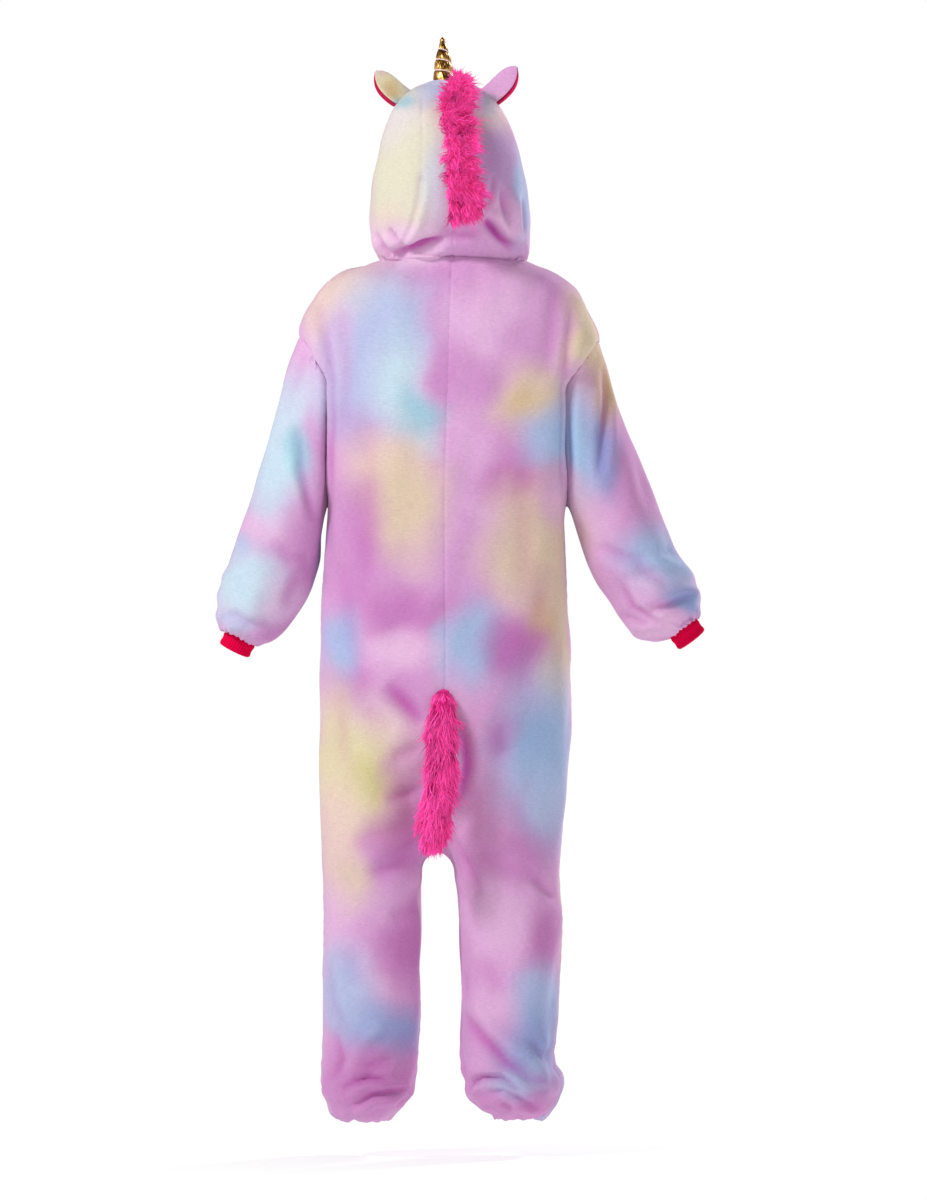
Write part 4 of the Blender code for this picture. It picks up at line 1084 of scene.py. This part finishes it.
for name, (points, ring, flip) in shaped.items():
    normals = cloth_normals[name]
    outer = points - normals * seam_depth(name, points, ring)[..., None]
    inner = outer - normals * WALL
    # colours: the dye, with painted shade in the creases
    colours = dyed_with_painted_crease_shade(points, smooth_normals[name], creases[name])
    made = piece(f"{name}_cloth", (outer, inner), ring, FLEECE, "fleece", colours)
    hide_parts(name)


def hood_tree():
    """The hood's outer skin, to land the horn and ears on."""
    corners, faces = [], []
    for word in ("left", "right"):
        grid = shaped[f"hood_{word}"][0]
        rows, columns = grid.shape[:2]
        index = np.arange(rows * columns).reshape(rows, columns) + len(corners)
        corners += grid.reshape(-1, 3).tolist()
        faces += quads(index).tolist()
    return BVHTree.FromPolygons([Vector(corner) for corner in corners], faces)


TREE = hood_tree()


def landed(point, way, gap):
    way = Vector(way).normalized()
    hit = TREE.ray_cast(Vector(point), way)[0]
    return np.array(hit) - np.array(way) * gap


# ---------------------------------------------------------------- ears

LINING = fleece_material("ear_lining", (0.70, 0.006, 0.10))


def ear_sheets(side, front):
    """A domed leaf of an ear and its flat inner side, with a rolled edge: the CAD's leaf, but slimmer."""
    low, high = (np.array(foot, float) for foot in EAR_FEET[side])
    tip = np.array(EAR_TIPS[side], float)
    root = (low + high) / 2
    width = np.linalg.norm(high - low) / 2
    along = tip - root
    across = (high - low) / np.linalg.norm(high - low)
    out = np.cross(across, along / np.linalg.norm(along))
    out *= np.sign(out[1])
    rows, columns = 34, 27
    flat, domed_side = np.zeros((rows, columns, 3)), np.zeros((rows, columns, 3))
    puff, split = (-EAR_PUFF, -0.15) if front else (EAR_PUFF, 0.15)
    for r in range(rows):
        s = r / (rows - 1)
        half = max(width * (1 - s**4) ** 0.8 * (1 + 0.12 * s), 2.0)
        for c in range(columns):
            t = math.sin((-1 + 2 * c / (columns - 1)) * math.pi / 2)
            bulge = 1.0 if t > 0 else EAR_BELLY + (EAR_RIM if front else 0)
            point = root + along * s + across * (half * t * bulge + EAR_HOLLOW * s * (s - 1))
            point = point + np.array([0, EAR_ROLL * max(-t, 0) ** 2 * (1 - s), 0])
            if r == 0:
                point = landed(point + along * 0.6, -along, 1.2)
            dome = puff * math.sqrt(max(1 - t * t, 0)) ** 0.8 * (1 - 0.8 * s)
            dome *= 1 + 0.05 * math.sin(9 * s + 5 * t)
            flat[r, c] = point + out * split
            domed_side[r, c] = point + out * (split * 2 + dome)
    return domed_side, flat


for side, word in ((1, "left"), (-1, "right")):
    for front, face in ((False, "back"), (True, "front")):
        grids = ear_sheets(side, front)
        way = np.zeros_like(grids[0])
        way[..., 1] = -1 if front else 1
        colours = None if front else dyed_with_painted_crease_shade(grids[0], way, np.zeros(way.shape[:2]))
        slot = "ear_lining" if front else "fleece"
        made = piece(f"ear_{word}_{face}_cloth", grids, False, LINING if front else FLEECE, slot, colours)
        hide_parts(f"ear_{word}_{face}")

# ---------------------------------------------------------------- cuffs

CUFF_RIBS = 36
RIB_DEPTH = 0.45
CUFF_RED = np.array([0.80, 0.001, 0.06])
RIB = rib_material()


def cuff_grid(side):
    middle, way = np.array(CUFFS[side][0], float), Vector(CUFFS[side][1]).normalized()
    across = way.cross(Vector((0, 1, 0))).normalized()
    deep = way.cross(across)
    angles = np.linspace(0, 2 * math.pi, CUFF_RIBS * 8, endpoint=False)
    spokes = np.outer(np.cos(angles), across) + np.outer(np.sin(angles), deep)
    rib = np.cos(CUFF_RIBS * angles)
    rim = CUFF_SHOWS - np.array([1.2, 0.5, 0])
    stops = np.concatenate([np.linspace(-CUFF_INSIDE, CUFF_SHOWS - 2, 20), rim])
    outer, inner = [], []
    for stop in stops:
        rounding = 1.0 * ease((stop - CUFF_SHOWS + 2) / 2)
        slack = 0.5 * math.sin(stop * 0.5) + 0.35 * np.sin(2 * angles + stop * 0.2)
        base = middle + np.array(way) * stop
        outer.append(base + spokes * (CUFF_RADIUS - 0.3 + RIB_DEPTH * rib - rounding + slack)[:, None])
        inner.append(base + spokes * (CUFF_RADIUS - WALL + RIB_DEPTH * rib + rounding * 0.6 + slack)[:, None])
    # painted shade: the colour is darker in the rib's valleys than on its crests
    shade = 0.72 + 0.28 * (rib + 1) / 2
    colours = np.ones((len(stops), 1, 1)) * shade[None, :, None] * CUFF_RED
    return (np.array(outer), np.array(inner)), colours


for side, word in ((1, "left"), (-1, "right")):
    grids, colours = cuff_grid(side)
    made = piece(f"cuff_{word}_rib", grids, True, RIB, "rib", colours)
    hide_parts(f"cuff_{word}")

# ---------------------------------------------------------------- horn

WINDING_PITCH = 15.5
WINDING_PINCH = 0.9
THREAD_RADIUS = 0.7
THREAD = plain_material("thread", (0.90, 0.76, 0.70), 0.6, grain=2500)


def horn_frame():
    tip = np.array(HORN_TIP)
    foot = landed((*HORN_BASE, 400.0), (0, 0, -1), 0)
    way = Vector(foot - tip).normalized()
    across = np.array(way.orthogonal().normalized())
    return tip, foot, across, np.cross(np.array(way), across)


def horn_radius(height, angle, length):
    """The stuffed cone's radius, pinched where the thread winds round it."""
    share = np.clip(height / length, 0, 1)
    knots = np.linspace(0, 1, len(HORN_RADII))
    plain = np.interp(np.clip((share - 0.06) / 0.94, 0, 1), knots, HORN_RADII)
    turn = height / WINDING_PITCH - angle / (2 * math.pi)
    away = (turn - np.round(turn)) * WINDING_PITCH
    near = np.exp(-((away / 2.6) ** 2))
    fade = ease((1 - share) * 8)
    bulge = 0.4 * (1 - near) * (1 - share)
    creases = 0.28 * np.sin(13 * angle + 2.1 * np.sin(height / 5)) + 0.2 * np.sin(23 * angle - height / 3)
    pinch = WINDING_PINCH * near * fade * np.clip(plain / 8, 0.3, 1)
    return plain + bulge - pinch + creases * np.clip(plain / 12, 0, 1)


def horn_pieces():
    tip, foot, across, over = horn_frame()
    length = np.linalg.norm(foot - tip)
    up = (tip - foot) / length
    angles = np.linspace(0, 2 * math.pi, 96, endpoint=False)
    spokes = np.outer(np.cos(angles), across) + np.outer(np.sin(angles), over)
    base = np.array([landed(tip + spoke * HORN_RADII[0], -up, 0.6) for spoke in spokes])
    rings = [base]
    for height in np.concatenate([np.linspace(9, length - 6, 110), length - np.array([5, 4, 3, 2, 1, 0])]):
        nub = 1.2 * math.exp(-(((height - length + 2.6) / 1.2) ** 2))
        radius = horn_radius(height, angles, length) + nub
        rings.append(foot + up * height + spokes * radius[:, None])
    rings.append(np.tile(tip + up * 1.5, (len(angles), 1)))
    start = landed(tip, -up, 0.6)
    rings.insert(0, np.tile(start, (len(angles), 1)))
    body = finish("horn_lame", *closed(np.array(rings)), lame_material(), "gold_lame", sharp=None)
    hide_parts("horn")

    turns = np.arange(0.75, (length - 4) / WINDING_PITCH, 1 / 48)
    path = []
    for turn in turns:
        height, angle = turn * WINDING_PITCH, (turn % 1) * 2 * math.pi
        radius = horn_radius(height, angle, length) + THREAD_RADIUS * 0.5
        path.append(foot + up * height + (across * math.cos(angle) + over * math.sin(angle)) * radius)
    tube("horn_thread", np.array(path), THREAD_RADIUS, 8, THREAD, "gold_lame")


def tube(name, path, radius, sides, material, slot):
    """A round closed tube along a path."""
    run = unit(np.gradient(path, axis=0))
    over = unit(np.cross(run, (0.0, 0.0, 1.0)))
    rise = np.cross(over, run)
    angles = np.linspace(0, 2 * math.pi, sides, endpoint=False)
    rings = path[:, None] + radius * (
        np.cos(angles)[None, :, None] * over[:, None] + np.sin(angles)[None, :, None] * rise[:, None]
    )
    caps = [np.repeat(path[:1, None], sides, axis=1), np.repeat(path[-1:, None], sides, axis=1)]
    return finish(name, *closed(np.concatenate([caps[0], rings, caps[1]])), material, slot, sharp=None)


horn_pieces()

# ---------------------------------------------------------------- fur

# The fur's colour at the tips, and the painted shade it darkens to at the root
FUR_BRIGHT = np.array([0.97, 0.085, 0.42])
FUR_ROOT_PAINTED_SHADE = np.array([0.52, 0.002, 0.13])


def locks(roots, ways, bends, lengths, widths, shades, rings=4):
    """Tapered, curved, three-sided locks. Returns points, faces and colours."""
    count = len(roots)
    spans = np.linspace(0, 0.86, rings)
    ways = unit(ways)
    reference = unit(np.cross(ways, np.roll(ways, 1, axis=1) + 0.1))
    corners, colours = [], []
    for t in spans:
        centre = roots + ways * (lengths * t)[:, None] + bends * (lengths * t * t)[:, None]
        run = unit(ways + 2 * t * bends)
        side = unit(reference - run * (reference * run).sum(axis=1, keepdims=True))
        rise = np.cross(run, side)
        radius = widths / 2 * (1 - 0.55 * t) * (0.75 + 0.5 * math.sin(math.pi * min(t + 0.25, 1)))
        for turn in (0, 2 * math.pi / 3, 4 * math.pi / 3):
            corners.append(centre + (side * math.cos(turn) + rise * math.sin(turn)) * radius[:, None])
            # painted shade: darker from the tip down to the root
            mix = ease(t * 1.25 + 0.1)
            colours.append((FUR_ROOT_PAINTED_SHADE + (FUR_BRIGHT - FUR_ROOT_PAINTED_SHADE) * mix) * shades[:, None])
    corners.append(roots + ways * lengths[:, None] + bends * lengths[:, None])
    colours.append(FUR_BRIGHT * shades[:, None])
    each = len(corners)
    points = np.stack(corners, axis=1).reshape(-1, 3)
    colours = np.clip(np.stack(colours, axis=1).reshape(-1, 3), 0, 1)
    faces = [(0, 2, 1)]
    for r in range(rings - 1):
        for c in range(3):
            d = (c + 1) % 3
            faces.append((3 * r + c, 3 * r + d, 3 * r + 3 + d, 3 * r + 3 + c))
    last = 3 * (rings - 1)
    faces += [(last + c, last + (c + 1) % 3, last + 3) for c in range(3)]
    made = []
    for n in range(count):
        made += [tuple(n * each + corner for corner in face) for face in faces]
    return points, made, colours


def strip(points_across, outs, thick):
    """Points and faces of the fur's backing: a domed closed strip along stations of points."""
    rings = []
    for row, out in zip(points_across, outs):
        low = row + out * 0.6
        shares = np.linspace(-1, 1, len(row))
        high = row + out * (0.6 + thick * np.sqrt(np.clip(1.02 - shares**2, 0, 1)))[:, None]
        rings.append(np.concatenate([high, low[::-1]]))
    grid = np.array(rings)
    grid = np.concatenate([np.tile(grid[:1].mean(axis=1, keepdims=True), (1, grid.shape[1], 1)), grid])
    grid = np.concatenate([grid, np.tile(grid[-1:].mean(axis=1, keepdims=True), (1, grid.shape[1], 1))])
    return closed(grid)


FUR = fur_material()
FUR_BACK = plain_material("fur_backing", (0.75, 0.01, 0.25), 0.85, grain=500, amount=0.15, depth=0.0008)


def grown(name, draw, tufts, which, roots, ways, bends, lengths):
    """The fur that replaces a CAD node. Each lock has its own width and shade, and each tuft its own shade."""
    widths = draw.uniform(*FUR_WIDE, len(which))
    shades = draw.normal(1, 0.13, tufts)[which] * draw.normal(1, 0.15, len(which))
    points, faces, colours = locks(roots, ways, bends, lengths, widths, shades)
    fur = finish(f"{name}_fur", points, faces, FUR, "fur", colours, sharp=None)
    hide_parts(name)
    return fur


MANE_ASIDE = (0, 0.3, 0.55, 0.8, 1), (9, 5, 1, 7, 17)  # how far the fur is combed aside, from neck to crown
MANE_LOCKS, MANE_TUFTS = 8400, 430
MANE_LONG = (17.0, 25.5)
MANE_FIRST, MANE_LAST = MANE_ROWS[0] + 0.7, 13.4  # places between the hood's rows
FUR_WIDE = (1.2, 2.1)


def mane_line():
    """Places, outward ways and sideways ways along the hood's seam, from above the neck over the crown."""
    steps = (HOOD_STEPS > MANE_FIRST) & (HOOD_STEPS <= MANE_LAST)
    middle = sheets["hood_left"][0][steps, 0]
    out = unit(smooth_normals["hood_left"][steps, 0])
    run = unit(np.gradient(middle, axis=0))
    over = unit(np.cross(run, out))
    over *= np.sign(over[:, :1])
    aside = np.interp(np.linspace(0, 1, len(middle)), *MANE_ASIDE)
    middle = middle - over * aside[:, None]
    middle = np.array([landed(point + way * 30, -way, 0.4) for point, way in zip(middle, out)])
    return middle, out, over, run


def on_hood(points, outs, gap):
    return np.array([landed(point + out * 30, -out, gap) for point, out in zip(points, outs)])


def build_mane():
    middle, out, over, run = mane_line()
    gone = run_length(middle)
    draw = np.random.default_rng(41)

    def at(field, place):
        return placed_on(field, gone, place)

    def taper(place):
        """The strip narrows towards the crown and widens a little towards the neck."""
        return 0.35 + 0.65 * np.clip((gone[-1] - place) / 80, 0, 1) + 0.25 * np.clip(1 - place / 90, 0, 1)

    place = draw.uniform(2, gone[-1] - 1, MANE_TUFTS)
    aside = draw.uniform(-1, 1, MANE_TUFTS) * 13.5
    lean = draw.normal(size=(MANE_TUFTS, 3)) * 0.5
    which = draw.integers(0, MANE_TUFTS, MANE_LOCKS)
    spread = draw.normal(size=(MANE_LOCKS, 2)) * 3.6
    along = np.clip(place[which] + spread[:, 0], 0, gone[-1])
    beside = np.clip(aside[which] + spread[:, 1], -16, 16)
    narrow, tuft_narrow = taper(along), taper(place)[:, None]
    o, s, d = at(out, along), unit(at(over, along)), unit(at(run, along))
    roots = on_hood(at(middle, along) + s * (beside * narrow)[:, None], o, 0.2)
    to, ts, td = at(out, place), unit(at(over, place)), unit(at(run, place))
    splay = (aside / 16)[:, None]
    points_to = unit(to * (1 - 0.3 * splay**2) + (ts * splay * 0.8 + lean) * tuft_narrow - td * 0.3)
    long = draw.uniform(*MANE_LONG, MANE_TUFTS)
    tips = at(middle, place) + ts * (aside * 0.8)[:, None] * tuft_narrow + points_to * long[:, None]
    reach = tips[which] + draw.normal(size=(MANE_LOCKS, 3)) * 2.8 - roots
    lengths = np.linalg.norm(reach, axis=1) * draw.uniform(0.8, 1.08, MANE_LOCKS)
    ends = np.clip(np.minimum(along, gone[-1] - along) / 12, 0, 1)
    lengths *= (0.8 + 0.2 * ends) * (0.62 + 0.38 * np.clip((gone[-1] - along) / 40, 0, 1))
    ways = unit(reach + o * 8)
    ways += o * np.clip(0.35 - (ways * o).sum(axis=1, keepdims=True), 0, 1)
    bends = draw.normal(size=(MANE_LOCKS, 3)) * 0.12 + (draw.normal(size=(MANE_TUFTS, 3)) * 0.2)[which]
    bends += (-0.10, 0, -0.25)
    fur = grown("mane", draw, MANE_TUFTS, which, roots, ways, bends, lengths)
    shares = np.linspace(-1, 1, 13)
    half = 16.5 * taper(gone)
    rows = middle[:, None] + over[:, None] * (shares * half[:, None])[..., None]
    rows = np.array([on_hood(row, np.tile(way, (len(row), 1)), 0.2) for row, way in zip(rows, out)])
    spots, kept = strip(rows, out, 2.2)
    backing = finish("mane_backing", spots, kept, FUR_BACK, "fur")


TAIL_LOCKS, TAIL_TUFTS = 5200, 260
TAIL_LONG = (18, 29)
TAIL_CORE = 0.55  # the stuffed tube's share of the tail's width
TAIL_LEAN = 7.0


def tail_lean(z):
    """How far the tail's end hangs to the wearer's left of the CAD's."""
    return TAIL_LEAN * ease((TAIL[2][0] - z) / (TAIL[2][0] - TAIL[-1][0]))


def build_tail():
    """A soft fur tube that hangs from the seat's seam, its locks combed down."""
    draw = np.random.default_rng(43)
    table = [(-row[0], *row[1:]) for row in TAIL]
    heights = np.linspace(TAIL[0][0] + 2, TAIL[-1][0] + 8, 90)
    angles = np.linspace(0, 2 * math.pi, 28, endpoint=False)
    x, y, wide, deep = (smooth(table, -heights, column) for column in range(1, 5))
    x = x + tail_lean(heights)
    grid = np.stack(
        [
            x[:, None] + TAIL_CORE * wide[:, None] * np.cos(angles),
            y[:, None] + TAIL_CORE * deep[:, None] * np.sin(angles),
            heights[:, None] + 0 * angles,
        ],
        axis=-1,
    )
    ends = ((grid[0], 2), (grid[-1], -2))
    caps = [np.tile(row.mean(axis=0), (1, len(angles), 1)) + (0, 0, lift) for row, lift in ends]
    stuffed = finish("tail_core", *closed(np.concatenate([caps[0], grid, caps[1]])), FUR_BACK, "fur")

    tuft_z = TAIL[0][0] + (TAIL[-1][0] + 8 - TAIL[0][0]) * draw.uniform(0, 1, TAIL_TUFTS)
    tuft_angle = draw.uniform(0, 2 * math.pi, TAIL_TUFTS)
    tuft_lean = draw.normal(size=(TAIL_TUFTS, 3)) * (0.34, 0.12, 0.2)
    which = draw.integers(0, TAIL_TUFTS, TAIL_LOCKS)
    z = np.clip(tuft_z[which] + draw.normal(size=TAIL_LOCKS) * 3.5, TAIL[-1][0] + 10, TAIL[0][0])
    angle = tuft_angle[which] + draw.normal(size=TAIL_LOCKS) * 0.28
    x, y, wide, deep = (smooth(table, -z, column) for column in range(1, 5))
    x = x + tail_lean(z)
    spoke = np.stack([np.cos(angle), np.sin(angle), 0 * angle], axis=-1)
    roots = np.stack([x + TAIL_CORE * wide * np.cos(angle), y + TAIL_CORE * deep * np.sin(angle), z], axis=-1)
    ways = spoke * 0.5 + np.array([0, 0, -0.9]) + tuft_lean[which] + draw.normal(size=(TAIL_LOCKS, 3)) * 0.14
    bends = -spoke * 0.3 + np.array([0, 0, -0.2]) + draw.normal(size=(TAIL_LOCKS, 3)) * (0.16, 0.1, 0.16)
    lengths = draw.uniform(*TAIL_LONG, TAIL_LOCKS) * (0.6 + 0.4 * ease((TAIL[0][0] - z) / 30))
    lengths *= 1 - 0.45 * ease((TAIL[-1][0] + 45 - z) / 35)
    grown("tail", draw, TAIL_TUFTS, which, roots, ways, bends, lengths)


build_mane()
build_tail()

# ---------------------------------------------------------------- zip

TOOTH_PITCH = 1.5
TOOTH_SIZE = (2.3, 1.0, 0.62)  # across, out, along
TAPE = plain_material("zip_tape", tuple(linear(214, 168, 214)), 0.75, grain=1200, amount=0.1)
TEETH = plain_material("zip_teeth", tuple(linear(226, 186, 224)), 0.35, grain=600, amount=0.03)
METAL = plain_material("nickel", (0.72, 0.71, 0.70), 0.28, metallic=1.0, grain=700, amount=0.05, depth=0.0001)


def front_line(v):
    points = body_point(1, -1, np.zeros_like(v), v)
    run = unit(np.gradient(points, axis=0))
    out = np.cross(run, np.array([1.0, 0, 0]))
    out *= np.sign(-out[:, 1:2])
    return points, unit(out), run


def bars(name, middles, ways, sizes, material, slot):
    """Many small eight-cornered bars with tapered tops. ways are (across, out, along) for each."""
    corner = np.array([(a, b, c) for b in (-1, 1) for a, c in ((-1, -1), (1, -1), (1, 1), (-1, 1))], float)
    corner[4:, [0, 2]] *= 0.72
    local = corner * np.array(sizes) / 2
    points = middles[:, None] + np.einsum("ck,nkd->ncd", local, ways)
    faces = [(0, 1, 2, 3), (7, 6, 5, 4), (0, 4, 5, 1), (1, 5, 6, 2), (2, 6, 7, 3), (3, 7, 4, 0)]
    kept = [tuple(8 * n + c for c in face) for n in range(len(middles)) for face in faces]
    spots = points.reshape(-1, 3)
    return finish(name, spots, facing_out(spots, kept), material, slot)


def build_zip():
    v = np.linspace(ZIP_START_V, ZIP_END_V + 0.012, 240)
    points, out, run = front_line(v)
    half = ZIP_WIDTH / 2 - 0.2
    places = np.array([-half, -half * 0.6, -0.7, -0.5, 0.5, 0.7, half * 0.6, half])
    drop = np.array([1.3, 0.7, 0.7, 1.5, 1.5, 0.7, 0.7, 1.3])
    outer = points[:, None] + places[None, :, None] * (1.0, 0, 0) - out[:, None] * drop[None, :, None]
    inner = outer - out[:, None] * 0.7
    tape = piece("zip_tape_cloth", (outer, inner), False, TAPE, "zip_tape")
    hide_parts("front_zip")
    gone = run_length(points)
    marks = np.arange(1.0, gone[-1] - 1, TOOTH_PITCH / 2)

    middle, outward, along = (placed_on(field, gone, marks) for field in (points, out, run))
    outward, along = unit(outward), unit(along)
    across = unit(np.cross(along, outward))
    sides = np.where(np.arange(len(marks)) % 2 == 0, 0.75, -0.75)
    middle = middle + across * sides[:, None] - outward * 0.55
    ways = np.stack([across, outward, along], axis=1)
    teeth = bars("zip_teeth", middle, ways, TOOTH_SIZE, TEETH, "zip_tape")


build_zip()
for name in ("zip_slider", "zip_pull"):
    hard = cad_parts[name]
    hard.data.materials.clear()
    hard.data.materials.append(METAL)
    rounded = hard.modifiers.new("rounded", "BEVEL")
    rounded.width = 0.00022
    rounded.segments = 2
    rounded.limit_method = "ANGLE"

# ---------------------------------------------------------------- studio

FLOOR_Z = -1.161
WALL_OF_LIGHT = (0.2, 0.45, 1.0, 0.12)  # slopes where the white starts and stops dimming, and the light there
FLOOR_FADE = (0.12, 0.6)
FLOOR_GLOW = 0.5
DISTANCE = 12.0
VIEW_HEIGHT = 1.560  # what the frame takes in at the garment's middle
VIEW_X, VIEW_Z = -0.0215, -0.4395


def floor_material():
    """Pale floor that turns into plain white light away from the object."""
    made, tree, shader = new_material("floor", 0.9, specular=0.1)
    grain = ranged(tree, noise(tree, (20, 20, 20), 2), 0.3, 0.7, 0.995, 1.005)
    place = node(tree, "ShaderNodeTexCoord").outputs["Object"]
    away = node(tree, "ShaderNodeVectorMath", {0: place}, operation="LENGTH").outputs["Value"]
    near = ranged(tree, away, *FLOOR_FADE, 1.0, 0.0)
    coloured(tree, shader, plain_colour(tree, (0.6, 0.6, 0.6)), product(tree, grain, near))
    shader.inputs["Emission Color"].default_value = (1, 1, 1, 1)
    tree.links.new(ranged(tree, near, 0.0, 1.0, 1.0, FLOOR_GLOW), shader.inputs["Emission Strength"])
    return made


def studio():
    floor = bpy.data.meshes.new("floor")
    floor.from_pydata([(-30, -30, 0), (30, -30, 0), (30, 30, 0), (-30, 30, 0)], [], [(0, 1, 2, 3)])
    floor.materials.append(floor_material())
    plane = placed("floor", floor)
    plane.location.z = FLOOR_Z

    world = bpy.data.worlds.new("studio")
    world.use_nodes = True
    sky = world.node_tree
    place = node(sky, "ShaderNodeTexCoord").outputs["Generated"]
    height = node(sky, "ShaderNodeSeparateXYZ", {"Vector": place}).outputs["Z"]
    steep = node(sky, "ShaderNodeMath", {0: height}, operation="ABSOLUTE").outputs["Value"]
    sky.links.new(ranged(sky, steep, *WALL_OF_LIGHT), sky.nodes["Background"].inputs["Strength"])
    sky.nodes["Background"].inputs["Color"].default_value = (1, 1, 1, 1)
    bpy.context.scene.world = world
    bpy.context.scene.view_settings.view_transform = "Standard"

    for name, place, size, power in (
        ("key", (2.7, 2.3, 2.6), 1.0, 145),
        ("fill", (-2.6, 2.6, 0.3), 2.0, 14),
        ("front_key", (-2.2, -2.8, 2.3), 1.0, 150),
    ):
        lamp = bpy.data.lights.new(name, "AREA")
        lamp.size = size
        lamp.energy = power
        light = placed(name, lamp)
        light.location = place
        light.rotation_euler = (Vector((0, 0, -0.4)) - Vector(place)).to_track_quat("-Z", "Y").to_euler()

    lens = bpy.data.cameras.new("camera")
    lens.sensor_width = 36
    lens.lens = 36 * DISTANCE / VIEW_HEIGHT
    lens.clip_end = 100
    camera = placed("camera", lens)
    camera.location = (VIEW_X, DISTANCE, VIEW_Z)
    camera.rotation_euler = (math.radians(90), 0, math.radians(180))
    bpy.context.scene.camera = camera


studio()
